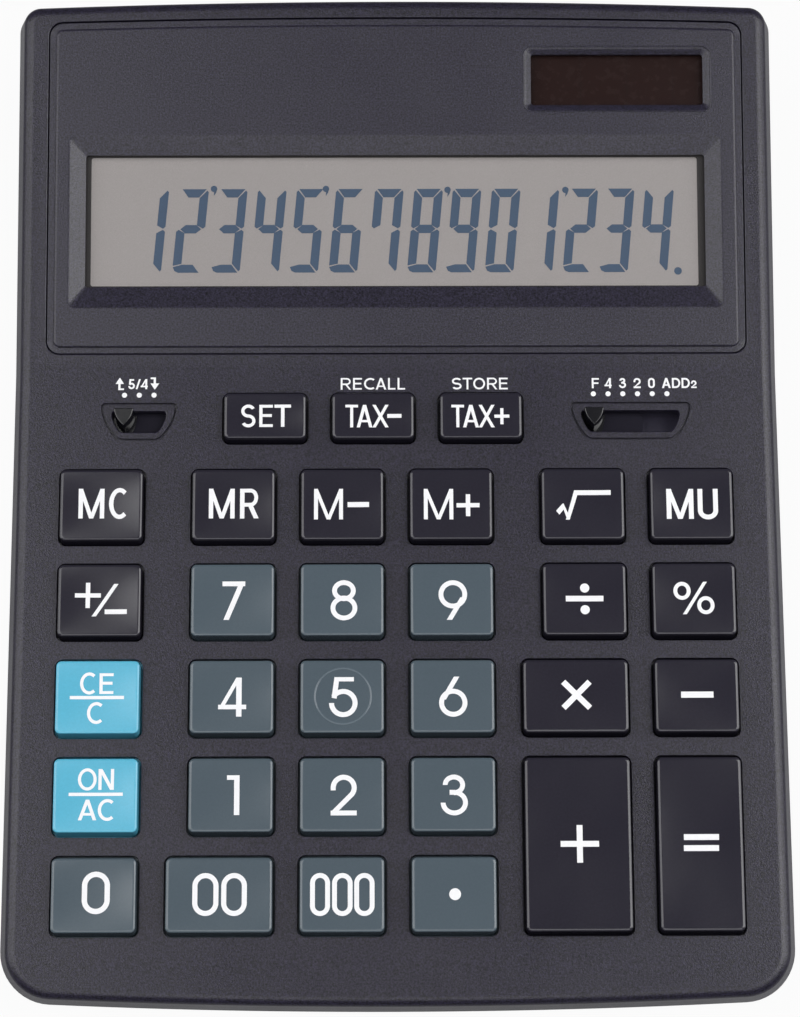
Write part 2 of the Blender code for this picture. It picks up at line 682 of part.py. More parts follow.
def add_fascia(display):
    bm = bmesh.new()
    full, inner = fascia_outline(0.0), fascia_outline(-FASCIA_RIM)
    add_loft(bm, [flat_ring(full, -FASCIA), flat_ring(full, -FASCIA_RIM_DROP),
                  flat_ring(inner, -FASCIA_RIM_DROP), flat_ring(inner, 0.0)])
    fascia = add_part("display_fascia", finished("display_fascia", bm), PLASTIC_CHARCOAL, display)

    bm = bmesh.new()
    view = view_outline(0.0)
    bevel = outline(BEVEL_HALF_WIDTH, BEVEL_FRONT, BEVEL_BACK, BEVEL_CORNER, BEVEL_CORNER)
    add_loft(bm, [flat_ring(view, -FASCIA - OVERRUN), flat_ring(view, -BEVEL_DEPTH),
                  flat_ring(bevel, 0.0), flat_ring(bevel, OVERRUN)])
    solar = solar_outline(-SOLAR_BEVEL, VIEW_CORNER)
    rim = solar_outline(0.0, SOLAR_CORNER)
    add_loft(bm, [flat_ring(solar, -FASCIA - OVERRUN), flat_ring(solar, -SOLAR_BEVEL_DEPTH),
                  flat_ring(rim, 0.0), flat_ring(rim, OVERRUN)])
    boolean(fascia, add_cutter("fascia_openings", bm, display))

    bm = bmesh.new()
    add_prism(bm, view_outline(WINDOW_LAP), -FASCIA - OVERRUN, -WINDOW_CEILING)
    add_prism(bm, solar_outline(SOLAR_LAP - SOLAR_BEVEL, SOLAR_CORNER), -FASCIA - OVERRUN, -SOLAR_CEILING)
    boolean(fascia, add_cutter("window_pockets", bm, display))


def add_display(display):
    """Windows, liquid crystal panel and solar cell, stacked under the fascia."""
    view = view_outline(PANEL_EDGE)
    solar = solar_outline(SOLAR_LAP - SOLAR_BEVEL - GAP, SOLAR_CORNER)
    for name, points, top, depth, finish in (
            ("display_window", view, WINDOW_TOP, WINDOW, CLEAR_WINDOW),
            ("lcd_panel", view, PANEL_TOP, PANEL, PANEL_GLASS),
            ("solar_window", solar, SOLAR_WINDOW_TOP, SOLAR_WINDOW, CLEAR_WINDOW),
            ("solar_cell", solar, SOLAR_CELL_TOP, SOLAR_CELL, CELL_DARK)):
        bm = bmesh.new()
        add_prism(bm, points, top - depth, top)
        add_part(name, finished(name, bm), finish, display)


def add_electronics(deck):
    bm = bmesh.new()
    add_prism(bm, outline(BOARD_HALF_WIDTH, BOARD_FRONT, BOARD_BACK, BOARD_CORNER, BOARD_CORNER),
             BOARD_FOOT, BOARD_TOP)
    add_part("main_pcb", finished("main_pcb", bm), BOARD_GREEN, deck)

    bm = bmesh.new()
    chip_top = BOARD_FOOT - GAP
    add_cylinder(bm, *CHIP_PLACE, chip_top - CHIP_HEIGHT, chip_top, CHIP_TOP_RADIUS, CHIP_RADIUS)
    add_part("controller_chip", finished("controller_chip", bm), EPOXY, deck)

    bm = bmesh.new()
    sheet_foot = SHEET_TOP - SHEET
    half = COLUMNS[-1] + OPENING_WIDTH / 2 - GAP
    back = ROWS[0] + OPENING_DEPTH / 2 + SHEET_MARGIN
    tongue_left = COLUMNS[1] + SMALL_ROW_SHIFT - OPENING_WIDTH / 2 - SHEET_MARGIN
    tongue_right = COLUMNS[3] + SMALL_ROW_SHIFT + OPENING_WIDTH / 2 + SHEET_MARGIN
    sheet = [(half, SHEET_FRONT), (half, back), (tongue_right, back), (tongue_right, tongue_back()),
             (tongue_left, tongue_back()), (tongue_left, back), (-half, back), (-half, SHEET_FRONT)]
    add_prism(bm, sheet, sheet_foot, SHEET_TOP)
    membrane = add_part("key_membrane", finished("key_membrane", bm), RUBBER_GREY, deck)
    bm = bmesh.new()
    for name, x, s, opening, finish in key_layout():
        add_cylinder(bm, x, s, SHEET_TOP - SHEET_SINK, PLUNGER_FOOT - GAP, DOME_RADIUS,
                     DOME_TOP_RADIUS, DOME_SIDES)
    boolean(membrane, add_cutter("membrane_domes", bm, deck), "UNION")


def tongue_back():
    """Back edge of the membrane's tongue, which lies under the small keys."""
    return SMALL_ROW + SMALL_OPENING_DEPTH / 2 + SHEET_MARGIN


def add_ribbon():
    """Flat ribbon from the board's back edge up to the underside of the display panel."""
    start = tongue_back() + 2 * GAP
    low = BOARD_TOP + GAP + RIBBON / 2
    high = PANEL_TOP - PANEL - GAP - RIBBON / 2
    edge = VIEW_FRONT - PANEL_EDGE
    first = on_slope(DECK_SLOPE, 0.0, start + RIBBON_LAP, low)
    first_pull = on_slope(DECK_SLOPE, 0.0, start + RIBBON_LAP + RIBBON_REACH, low)
    last_pull = on_slope(DISPLAY_SLOPE, 0.0, edge - RIBBON_REACH, high)
    last = on_slope(DISPLAY_SLOPE, 0.0, edge, high)
    path = [on_slope(DECK_SLOPE, 0.0, start, low)]
    path += interpolate_bezier(first, first_pull, last_pull, last, RIBBON_STEPS)
    path += [on_slope(DISPLAY_SLOPE, 0.0, edge + RIBBON_LAP, high)]
    bm = bmesh.new()
    rows = [[bm.verts.new((side * RIBBON_HALF_WIDTH, point.y, point.z)) for side in (-1, 1)]
            for point in path]
    for lower, upper in zip(rows, rows[1:]):
        bm.faces.new((lower[0], lower[1], upper[1], upper[0]))
    ribbon = add_part("lcd_ribbon", finished("lcd_ribbon", bm), RIBBON_FILM)
    solid = ribbon.modifiers.new("thickness", "SOLIDIFY")
    solid.thickness = RIBBON
    solid.offset = 0.0


def add_lead():
    """Sleeved lead from under the solar cell to the back edge of the board."""
    cell_foot = SOLAR_CELL_TOP - SOLAR_CELL - GAP
    board_middle = (BOARD_TOP + BOARD_FOOT) / 2
    x = (SOLAR_LEFT + SOLAR_RIGHT) / 2
    s = (SOLAR_FRONT + SOLAR_BACK) / 2
    path = interpolate_bezier(
        on_slope(DISPLAY_SLOPE, x, s, cell_foot),
        on_slope(DISPLAY_SLOPE, x, s, cell_foot - LEAD_DROP),
        on_slope(DECK_SLOPE, x, BOARD_BACK + GAP + LEAD_SPREAD, board_middle),
        on_slope(DECK_SLOPE, x, BOARD_BACK + GAP, board_middle), LEAD_POINTS)
    curve = bpy.data.curves.new("solar_lead", "CURVE")
    curve.dimensions = "3D"
    curve.bevel_depth = LEAD_RADIUS
    curve.bevel_resolution = 2
    curve.use_fill_caps = True
    spline = curve.splines.new("POLY")
    spline.points.add(len(path) - 1)
    for point, spot in zip(spline.points, path):
        point.co = (*spot, 1.0)
    add_part("solar_lead", curve, LEAD_SLEEVE)


def bay_levels():
    """Heights of the lid's top, the button cell's foot and top, and the bay's ceiling."""
    lid_top = FLOOR_OUT + LID
    cell_foot = lid_top + GAP
    cell_top = cell_foot + CELL_HEIGHT
    return lid_top, cell_foot, cell_top, cell_top + CELL_HEADROOM


def contact_boxes():
    """Corners of both contacts' boxes: the negative leaf and its tab, then the positive tab."""
    lid_top, cell_foot, cell_top, ceiling = bay_levels()
    y = place(0.0, BAY_S, 0.0).y
    low_y, high_y = y - CONTACT_WIDTH / 2, y + CONTACT_WIDTH / 2
    cell_x = BAY_X - CELL_SHIFT
    rise = ceiling + BAY_WALL + CONTACT_RISE
    leaf_foot = cell_top + GAP
    tab_x = cell_x + CELL_RADIUS - CONTACT
    side_x = cell_x - CELL_RADIUS - GAP
    leaf = ((cell_x - CONTACT_WIDTH / 2, low_y, leaf_foot), (tab_x, high_y, leaf_foot + CONTACT))
    tab = ((tab_x - CONTACT, low_y, leaf_foot), (tab_x, high_y, rise))
    side = ((side_x - CONTACT, low_y, cell_foot + GAP), (side_x, high_y, rise))
    return leaf, tab, side


def add_battery():
    lid_top, cell_foot, cell_top, ceiling = bay_levels()
    y = place(0.0, BAY_S, 0.0).y
    bm = bmesh.new()
    add_cylinder(bm, BAY_X - CELL_SHIFT, y, cell_foot, cell_top, CELL_RADIUS)
    add_part("button_cell", finished("button_cell", bm), NICKEL)

    leaf, tab, side = contact_boxes()
    bm = bmesh.new()
    add_box(bm, *side)
    add_part("battery_contact_positive", finished("battery_contact_positive", bm), NICKEL)
    bm = bmesh.new()
    add_box(bm, *leaf)
    negative = add_part("battery_contact_negative", finished("battery_contact_negative", bm), NICKEL)
    bm = bmesh.new()
    add_box(bm, *tab)
    boolean(negative, add_cutter("negative_tab", bm), "UNION")

    bm = bmesh.new()
    half_x, half_y = BAY_HALF_LENGTH - GAP, BAY_HALF_DEPTH - GAP
    add_box(bm, (BAY_X - half_x, y - half_y, FLOOR_OUT), (BAY_X + half_x, y + half_y, lid_top))
    lid = add_part("battery_cover", finished("battery_cover", bm), PLASTIC_CHARCOAL)
    bm = bmesh.new()
    head_top = FLOOR_OUT + LID_SCREW_SUNK + LID_SCREW_HEAD
    x = BAY_X + LID_POST_SHIFT
    add_cylinder(bm, x, y, FLOOR_OUT - OVERRUN, head_top + GAP, SCREW_HEAD_RADIUS + GAP)
    boolean(lid, add_cutter("lid_counterbore", bm))
    bm = bmesh.new()
    add_cylinder(bm, x, y, FLOOR_OUT, lid_top + OVERRUN, SCREW_RADIUS + GAP, sides=SCREW_SIDES)
    boolean(lid, add_cutter("lid_hole", bm))
    add_screw("battery_cover_screw", x, y, FLOOR_OUT + LID_SCREW_SUNK, LID_SCREW_HEAD)


def add_screw(name, x, y, foot, head):
    """Turned screw that stands on its head."""
    bm = bmesh.new()
    shoulder, tip = head, head + SCREW_LENGTH
    profile = [(0.0, tip), (SCREW_RADIUS, tip), (SCREW_RADIUS, shoulder),
               (SCREW_HEAD_RADIUS, shoulder), (SCREW_HEAD_RADIUS, 0.0), (0.0, 0.0)]
    points = [bm.verts.new((r, 0.0, z)) for r, z in profile]
    for upper, lower in zip(points, points[1:]):
        bm.edges.new((upper, lower))
    screw = add_part(name, finished(name, bm), STEEL, None, (x, y, foot))
    turn = screw.modifiers.new("turn", "SCREW")
    turn.steps = turn.render_steps = SCREW_SIDES
    turn.use_merge_vertices = True
    turn.merge_threshold = MERGE


def add_case_screws():
    foot = screw_levels()[0]
    for name, x, s, on_shelf in post_spots():
        add_screw(name, x, place(x, s, 0.0).y, foot, SCREW_HEAD)


def foot_spots():
    return [(f"foot_{label}_{side}", sign * FOOT_X, place(0.0, s, 0.0).y)
            for label, s in (("front", FOOT_FRONT), ("back", FOOT_BACK))
            for side, sign in (("left", -1), ("right", 1))]


def add_feet():
    top = FLOOR_OUT + FOOT_RECESS - GAP
    for name, x, y in foot_spots():
        bm = bmesh.new()
        add_cylinder(bm, x, y, 0.0, top, FOOT_RADIUS)
        add_part(name, finished(name, bm), RUBBER_BLACK)


def add_bottom_cover(deck):
    lid_top, cell_foot, cell_top, ceiling = bay_levels()
    head_foot, shoulder, tip = screw_levels()
    bay_y = place(0.0, BAY_S, 0.0).y
    lip_n = LIP_HEIGHT - SKIRT_DEPTH
    lip_inset = WALL + GAP + SIDE_FLARE * LIP_HEIGHT / SKIRT_DEPTH
    bm = bmesh.new()
    outside = parting_ring(PARTING_INSET + BOTTOM_DRAFT, -SKIRT_DEPTH)
    add_loft(bm, [dropped(outside, FLOOR_OUT), parting_ring(PARTING_INSET, -SKIRT_DEPTH - GAP),
                  parting_ring(lip_inset, -SKIRT_DEPTH - GAP), parting_ring(lip_inset, lip_n)], FOLD_INDEX)
    cover = add_part("bottom_cover", finished("bottom_cover", bm), PLASTIC_CHARCOAL)

    bm = bmesh.new()
    inside = lip_inset + LIP_WALL
    add_loft(bm, [dropped(parting_ring(inside, -SKIRT_DEPTH), FLOOR_IN),
                  parting_ring(inside, lip_n + OVERRUN)], FOLD_INDEX)
    boolean(cover, add_cutter("bottom_cavity", bm))

    bm = bmesh.new()
    for s in RIB_PLACES:
        foot = (FLOOR_OUT + SINK - FOLD_Z - s * sin(DECK_SLOPE)) / cos(DECK_SLOPE)
        add_box(bm, (-RIB_HALF_WIDTH, s - RIB_WALL / 2, foot),
                (RIB_HALF_WIDTH, s + RIB_WALL / 2, BOARD_FOOT - GAP))
    boolean(cover, add_cutter("board_ribs", bm, deck), "UNION")

    bm = bmesh.new()
    for name, x, s, on_shelf in post_spots():
        add_cylinder(bm, x, place(x, s, 0.0).y, FLOOR_OUT + SINK, BOSS_TOP, BOSS_RADIUS)
    half_x, half_y = BAY_HALF_LENGTH + BAY_WALL, BAY_HALF_DEPTH + BAY_WALL
    add_box(bm, (BAY_X - half_x, bay_y - half_y, FLOOR_OUT + SINK),
            (BAY_X + half_x, bay_y + half_y, ceiling + BAY_WALL))
    boolean(cover, add_cutter("bosses_and_bay", bm), "UNION")

    bm = bmesh.new()
    for name, x, s, on_shelf in post_spots():
        add_cylinder(bm, x, place(x, s, 0.0).y, FLOOR_OUT - OVERRUN, shoulder + GAP,
                     SCREW_HEAD_RADIUS + GAP)
    for name, x, y in foot_spots():
        add_cylinder(bm, x, y, FLOOR_OUT - OVERRUN, FLOOR_OUT + FOOT_RECESS, FOOT_RADIUS + GAP)
    add_box(bm, (BAY_X - BAY_HALF_LENGTH, bay_y - BAY_HALF_DEPTH, FLOOR_OUT - OVERRUN),
            (BAY_X + BAY_HALF_LENGTH, bay_y + BAY_HALF_DEPTH, ceiling))
    boolean(cover, add_cutter("recesses", bm))

    bm = bmesh.new()
    lid_post_x = BAY_X + LID_POST_SHIFT
    add_cylinder(bm, lid_post_x, bay_y, lid_top + GAP, ceiling + BAY_WALL / 2, POST_RADIUS)
    boolean(cover, add_cutter("lid_post", bm), "UNION")

    bm = bmesh.new()
    for name, x, s, on_shelf in post_spots():
        add_cylinder(bm, x, place(x, s, 0.0).y, shoulder, BOSS_TOP + OVERRUN, SCREW_RADIUS + GAP,
                     sides=SCREW_SIDES)
    lid_tip = FLOOR_OUT + LID_SCREW_SUNK + LID_SCREW_HEAD + SCREW_LENGTH
    add_cylinder(bm, lid_post_x, bay_y, lid_top - OVERRUN, lid_tip + GAP, SCREW_RADIUS + GAP,
                 sides=SCREW_SIDES)
    leaf, tab, side = contact_boxes()
    for low, high in (tab, side):
        add_box(bm, (low[0] - GAP, low[1] - GAP, ceiling - OVERRUN / 2),
                (high[0] + GAP, high[1] + GAP, ceiling + BAY_WALL + OVERRUN))
    boolean(cover, add_cutter("holes", bm))


def main():
    clear_scene()
    collection(PARTS)
    collection(CUTTERS)
    deck = add_frame("deck_frame", DECK_SLOPE)
    display = add_frame("display_frame", DISPLAY_SLOPE)
    add_top_cover(deck, display)
    add_bottom_cover(deck)
    add_fascia(display)
    add_display(display)
    add_electronics(deck)
    add_ribbon()
    add_lead()
    add_keys(deck)
    add_switches(deck)
    add_battery()
    add_case_screws()
    add_feet()


main()
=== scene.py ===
"""Looks of the desktop calculator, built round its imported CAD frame.

The top face is bent along one fold line. In it, x runs to the right, s runs from the fold
towards the back, and n stands square off the face. Lengths are metres, +Z up.
"""
from math import cos, hypot, pi, radians, sin

import bmesh
import bpy
from mathutils import Matrix, Vector


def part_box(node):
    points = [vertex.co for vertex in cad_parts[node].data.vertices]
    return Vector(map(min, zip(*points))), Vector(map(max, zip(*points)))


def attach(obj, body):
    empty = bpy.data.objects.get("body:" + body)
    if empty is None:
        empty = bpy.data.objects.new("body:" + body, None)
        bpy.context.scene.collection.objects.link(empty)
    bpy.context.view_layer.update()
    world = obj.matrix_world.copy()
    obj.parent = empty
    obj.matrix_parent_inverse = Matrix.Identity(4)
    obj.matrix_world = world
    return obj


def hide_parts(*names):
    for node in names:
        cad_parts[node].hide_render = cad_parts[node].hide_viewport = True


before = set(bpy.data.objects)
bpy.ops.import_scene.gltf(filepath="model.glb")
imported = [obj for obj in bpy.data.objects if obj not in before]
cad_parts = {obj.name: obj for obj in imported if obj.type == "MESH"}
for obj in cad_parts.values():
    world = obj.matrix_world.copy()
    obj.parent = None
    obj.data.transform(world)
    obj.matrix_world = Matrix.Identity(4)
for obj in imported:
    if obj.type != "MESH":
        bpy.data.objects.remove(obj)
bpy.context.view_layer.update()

# Case, as in the CAD source
CASE_WIDTH = 0.155
DECK_LENGTH = 0.1258
DISPLAY_LENGTH = 0.0758
FRONT_HEIGHT = 0.0129
DECK_SLOPE = radians(3.5)
DISPLAY_SLOPE = radians(10.2)
DISPLAY_TILT = DISPLAY_SLOPE - DECK_SLOPE
FRONT_BOW = 0.0021
BACK_BOW = 0.0015
FRONT_CORNER = 0.0098
BACK_CORNER = 0.0044
LEAST_CORNER = 0.0008
WALL = 0.002
SKIRT_DEPTH = 0.0065
SIDE_FLARE = 0.00185
END_FLARE = 0.0008
EDGE_ROUND = 0.0013
GAP = 0.0003
OVERRUN = 0.001
SINK = 0.0008
PARTING_INSET = 0.0006
LIP_HEIGHT = 0.0015
LIP_WALL = 0.0012
BOTTOM_DRAFT = 0.0012
FLOOR = 0.002
FRONT_REACH = (DECK_LENGTH + FRONT_BOW) * cos(DECK_SLOPE) - SKIRT_DEPTH * sin(DECK_SLOPE)
BACK_REACH = (DISPLAY_LENGTH + BACK_BOW) * cos(DISPLAY_SLOPE) + SKIRT_DEPTH * sin(DISPLAY_SLOPE)
FOLD_Y = (FRONT_REACH - BACK_REACH) / 2
FOLD_Z = FRONT_HEIGHT + DECK_LENGTH * sin(DECK_SLOPE)

# Feet, screws and battery bay
FOOT_RADIUS = 0.005
FOOT_PROUD = 0.0015
FOOT_RECESS = 0.0008
FOOT_X = 0.060
FOOT_FRONT = -0.106
FOOT_BACK = 0.058
SCREW_HEAD_RADIUS = 0.0023
SCREW_HEAD = 0.0016
SCREW_RADIUS = 0.0011
SCREW_LENGTH = 0.006
SCREW_SUNK = 0.0005
POST_RADIUS = 0.0022
BOSS_RADIUS = 0.0032
BOSS_TOP = 0.0060
BAY_X = -0.030
BAY_S = 0.038
BAY_HALF_LENGTH = 0.014
BAY_HALF_DEPTH = 0.008
BAY_WALL = 0.0015
LID = 0.002
LID_SCREW_X = -0.0225
LID_SCREW_HEAD = 0.0008
LID_SCREW_SUNK = 0.0003
CELL_HEIGHT = 0.0054
CELL_HEADROOM = 0.0016
SCREW_PLACES = ((0.0620, -0.1193), (0.0704, -0.057703), (0.0680, 0.0690))
SHOULDER = FOOT_PROUD + SCREW_SUNK + SCREW_HEAD
LID_SHOULDER = FOOT_PROUD + LID_SCREW_SUNK + LID_SCREW_HEAD
BELOW = FOOT_PROUD - OVERRUN
FLOOR_JOIN = FOOT_PROUD + SINK
SCREW_HOLE = SCREW_RADIUS + GAP
HEAD_HOLE = SCREW_HEAD_RADIUS + GAP
RIB_HALF = 0.054995
RIB_WALL = 0.0015
CONTACT = 0.0003

# Keys
COLUMNS = (-0.058745, -0.032475, -0.010825, 0.010825, 0.037095, 0.058745)
ROWS = (-0.02867, -0.048025, -0.06738, -0.086735, -0.10609)
OPENING_WIDTH = 0.0173
OPENING_DEPTH = 0.0158
WIDE_EXTRA = 0.0042
TALL_OPENING = 0.035155
TALL_ROW = (ROWS[3] + ROWS[4]) / 2
SMALL_ROW = -0.01035
SMALL_ROW_SHIFT = 0.00615
SMALL_OPENING = 0.0108
KEY_PROUD = 0.00235
KEY_TAPER_SIDE = 0.00016
KEY_TAPER_END = 0.00041
KEY_EDGE = 0.00045
KEY_ROUND = 0.00025
KEY_ROUND_SHARE = 0.84
KEY_CHAMFER = 0.000085
KEY_DISH = 0.0002
KEY_WALL = 0.0012
KEY_DISH_SHARES = (0.98, 0.95, 0.9, 0.84, 0.76, 0.67, 0.57, 0.46, 0.34, 0.22, 0.1)
FLANGE_LAP = 0.0005
FLANGE_TOP = -0.0023
FLANGE_FOOT = -0.0033
PLUNGER_HALF = 0.0028
PLUNGER_CORNER = 0.0008
PLUNGER_FOOT = -0.0040
BOARD_TOP = -0.0066
BOARD_FOOT = -0.0082

# Slide switches
SWITCH_PITCH = 0.00297
SWITCH_BACK = -0.0088
SLOT_DEPTH = 0.00435
SWITCH_MIDDLE = SWITCH_BACK - SLOT_DEPTH / 2
SLOT_TAPER = 0.00175
SLOT_ROUNDS = (0.0008, 0.0007)
SLOT_END_ROOM = 0.0025
BEZEL_MARGIN = 0.00155
BEZEL_SIDE = 0.0020
BEZEL_TAPER = 0.0033
BEZEL_ROUNDS = (0.0011, 0.0008)
GROOVE = 0.00048
GROOVE_DEPTH = 0.0007
SWITCHES = (("rounding_switch_knob", -0.05175, 2 * SWITCH_PITCH),
            ("decimal_switch_knob", 0.04718, 5 * SWITCH_PITCH))
KNOB_PROUD = 0.0018
KNOB_SETBACK = 0.0004
SLIDER = 0.001
SLIDER_LEFT = 0.0038
SLIDER_LAP = 0.0012
WIPER = 0.003

# Display fascia, its openings and what lies under them
FASCIA_HALF = 0.0708
FASCIA_FRONT = 0.0034
FASCIA_BACK = 0.0717
FASCIA_BOW = 0.0010
FASCIA_CORNER = 0.0025
FASCIA = 0.002
FASCIA_RIM = 0.0012
FASCIA_RIM_DROP = 0.0003
SHELF_TOP = -0.0023
SHELF_FOOT = -0.0039
SHELF_FRONT = 0.0015
SHELF_INSET = 0.0005
BEVEL_HALF = 0.0664
BEVEL_FRONT = 0.0126
BEVEL_BACK = 0.0483
BEVEL_CORNER = 0.0015
BEVEL_DEPTH = 0.0013
VIEW_HALF = 0.0631
VIEW_FRONT = 0.0171
VIEW_BACK = 0.04448
VIEW_CORNER = 0.0006
WINDOW_CEILING = 0.0017
WINDOW_LAP = 0.0018
PANEL_TOP = -0.0028
SOLAR_LEFT = 0.02656
SOLAR_RIGHT = 0.06416
SOLAR_FRONT = 0.0535
SOLAR_BACK = 0.0665
SOLAR_CORNER = 0.0014
SOLAR_BEVEL = 0.0012
SOLAR_STEP = 0.0007
SOLAR_LAP = 0.0015
SOLAR_CEILING = 0.0014

# Small forms that only the looks have
KEY_GAP = 0.00032
KEY_CORNER = 0.00125
KEY_FACE_CORNER = 0.0010
EDGE_REACH = 0.0019
KEY_LIP = 0.00006
FASCIA_GROW = 0.00012
BEAD = 0.00014
BEAD_FLAT = 0.8
FASCIA_SLACK = -0.00020
FASCIA_SHIFT = 0.0001
FASCIA_LIP = 0.00014
STEP_GROOVE = 0.00022
STEP_GROOVE_END = FASCIA_CORNER * 0.6
STEP_GROOVE_FOOT = 0.0007
STEP_GROOVE_TOP = 0.0002
SKIRT_ROUND = 0.0002
RIM_ROUND = 0.00015
MOUTH_ROUND = 0.0003
BOTTOM_ROUND = 0.0008
FOOT_ROUND = 0.0005
# Frame round the display's panel: partly a printed border, partly painted shade for the shaded walls of
# the opening.
MASK_AND_SHADE_LEFT = -0.06212
MASK_AND_SHADE_RIGHT = 0.06172
MASK_AND_SHADE_FRONT = 0.01758
MASK_AND_SHADE_BACK = 0.04427
MASK_AND_SHADE_CORNER = 0.0005
MASK_AND_SHADE_LAP = 0.0012
PRINT_SINK = 0.00002
MASK_AND_SHADE_PROUD = 0.00006
GRIP_WIDTH = 0.0039
GRIP_DEPTH = 0.0033
GRIP_LEAN = 0.0007
GRIP_DEEPER = 0.0004
GRIP_COLLAR = 0.0005
GRIP_COLLAR_DEPTH = 0.0019
GRIP_COLLAR_TOP = -0.0021
GRIP_EDGE = 0.00026
# Share of the collar, height and share of the collar's depth, from the slider up
GRIP_STEM = ((1.0, FLANGE_TOP - SLIDER / 2, 1.0), (1.0, GRIP_COLLAR_TOP - 0.00008, 1.0),
             (0.9, GRIP_COLLAR_TOP, 1.0), (0.2, GRIP_COLLAR_TOP, 0.15), (0.0, -0.0008, 0.0),
             (0.0, 0.0004, 0.0))
SLIDER_REACH = 0.0101
SLIDER_ROUND = 0.8
FILM_REACH = 0.0075
FILM_HALF = 0.0055
FILM_PROUD = 0.00012
THREAD_TURNS = 10
THREAD_CORE = 0.8
THREAD_START = 0.0002
THREAD_PLAIN = 0.0008
CROSS_ARM = 0.00028
CROSS_REACH = 0.58
CROSS_DEPTH = 0.6
HEAD_EDGE = 0.25
TIP_SHARE = 0.5
LID_CORNER = 0.0006
LID_ROUND = 0.0003
RIDGES = 6
RIDGES_LEFT = 0.0115
RIDGE_PITCH = 0.0012
RIDGE_WIDTH = 0.0005
RIDGE_HALF = 0.0045
RIDGE_DEPTH = 0.0003

# Fineness of the round forms
CORNER_STEPS = 12
BOW_STEPS = 24
EDGE_STEPS = 8
ROUND_SIDES = 48
POST_SIDES = 24
SCREW_SIDES = 32
TOUCH_SIDES = 96
RECTANGLE_STEPS = 8
KEY_SIDE_PARTS = 12
FOLD_INDEX = 2 * (CORNER_STEPS + 1) + BOW_STEPS
SHARP_ANGLE = radians(38)
LIP_ROUND = 0.00025

# Camera, fitted to the photograph in the deck's own axes
LENS = 103.66
CAMERA_AIM = Vector((-0.010825, -0.06738, 0.0))
CAMERA_SHIFT = Vector((-0.011353, -0.037333, -0.57568))
CAMERA_TURNS = (0.004054, -0.236225, 0.007474)


def slope_matrix(slope):
    """Axes x, s, n of one stretch of the top face, from the fold."""
    return Matrix.Translation((0.0, FOLD_Y, FOLD_Z)) @ Matrix.Rotation(slope, 4, "X")


DECK = slope_matrix(DECK_SLOPE)
DISPLAY = slope_matrix(DISPLAY_SLOPE)
WORLD = Matrix.Identity(4)


# Materials: tree is a node tree, and a node's inputs are values or the outputs that feed them

GLOSS_WANDER = 0.03
SOLAR_STRIP = 0.00475
SOLAR_LINE = 0.00012


def feed(tree, node, inputs):
    for key, value in inputs.items():
        if isinstance(value, bpy.types.NodeSocket):
            tree.links.new(value, node.inputs[key])
        else:
            node.inputs[key].default_value = value


def add_node(tree, kind, inputs, output=0, **settings):
    """The named output of a new node."""
    made = tree.nodes.new("ShaderNode" + kind)
    for key, value in settings.items():
        setattr(made, key, value)
    feed(tree, made, inputs)
    return made.outputs[output]


def object_spot(tree):
    return add_node(tree, "TexCoord", {}, "Object")


def noise(tree, size, detail=2.0, stretch=(1.0, 1.0, 1.0)):
    """Noise texture whose features are about the given size across."""
    scaled = add_node(tree, "Mapping", {"Vector": object_spot(tree), "Scale": stretch})
    return add_node(tree, "TexNoise", {"Vector": scaled, "Scale": 1.0 / size, "Detail": detail,
                                       "Roughness": 0.6}, "Fac")


def spread(tree, source, low, high, start=0.3, end=0.7):
    """The source's middle range stretched between two values."""
    return add_node(tree, "MapRange", {"Value": source, "From Min": start, "From Max": end,
                                       "To Min": low, "To Max": high})


def tint(tree, source, dark, light):
    """Colour that runs from dark to light with the source."""
    made = tree.nodes.new("ShaderNodeValToRGB")
    for element, position, colour in zip(made.color_ramp.elements, (0.32, 0.68), (dark, light)):
        element.position = position
        element.color = (*colour, 1.0)
    tree.links.new(source, made.inputs["Fac"])
    return made.outputs["Color"]


def bump(tree, source, strength, height):
    return add_node(tree, "Bump", {"Height": source, "Strength": strength, "Distance": height})


def shaded(colour, factor):
    return tuple(min(1.0, channel * factor) for channel in colour)


def tree_of(name):
    made = bpy.data.materials.new(name)
    made.use_nodes = True
    return made, made.node_tree, made.node_tree.nodes["Principled BSDF"]


def surface(name, colour, roughness, grain, contrast, relief, metallic=0.0, specular=0.5,
            stretch=(1.0, 1.0, 1.0), mottle=1.0):
    """Moulded or rolled surface: fine grain in colour and relief, with a slow change in gloss."""
    made, tree, shader = tree_of(name)
    fine = noise(tree, grain, 2.0, stretch)
    specks = fine if mottle == 1.0 else noise(tree, grain * mottle, 2.0, stretch)
    feed(tree, shader, {
        "Base Color": tint(tree, specks, shaded(colour, 1 - contrast), shaded(colour, 1 + contrast)),
        "Roughness": spread(tree, noise(tree, 0.02, 3.0), roughness - GLOSS_WANDER,
                            roughness + GLOSS_WANDER),
        "Normal": bump(tree, fine, 0.35, relief), "Metallic": metallic,
        "Specular IOR Level": specular})
    return made


def clear(name, colour, alpha):
    """Thin clear sheet: mostly see-through, with its own gloss and a trace of haze."""
    made, tree, shader = tree_of(name)
    haze = noise(tree, 0.004, 3.0)
    feed(tree, shader, {"Base Color": tint(tree, haze, shaded(colour, 0.98), colour),
                        "Roughness": spread(tree, haze, 0.06, 0.10), "Alpha": alpha})
    return made


def solar_material():
    """Dark brown film with faint lines between the strips of the cell."""
    made, tree, shader = tree_of("solar_film")
    across = add_node(tree, "SeparateXYZ", {"Vector": object_spot(tree)}, "X")
    wave = add_node(tree, "Math", {0: across, 1: SOLAR_STRIP}, operation="PINGPONG")
    grain = noise(tree, 0.0016, 3.0)
    film = tint(tree, grain, (0.0190, 0.0085, 0.0075), (0.0200, 0.0092, 0.0082))
    mixed = add_node(tree, "Mix", {"Factor": spread(tree, wave, 1.0, 0.0, 0.0, SOLAR_LINE), "A": film,
                                   "B": (0.012, 0.008, 0.008, 1.0)}, "Result", data_type="RGBA")
    feed(tree, shader, {"Base Color": mixed, "Roughness": spread(tree, grain, 0.22, 0.30),
                        "Specular IOR Level": 0.15})
    return made


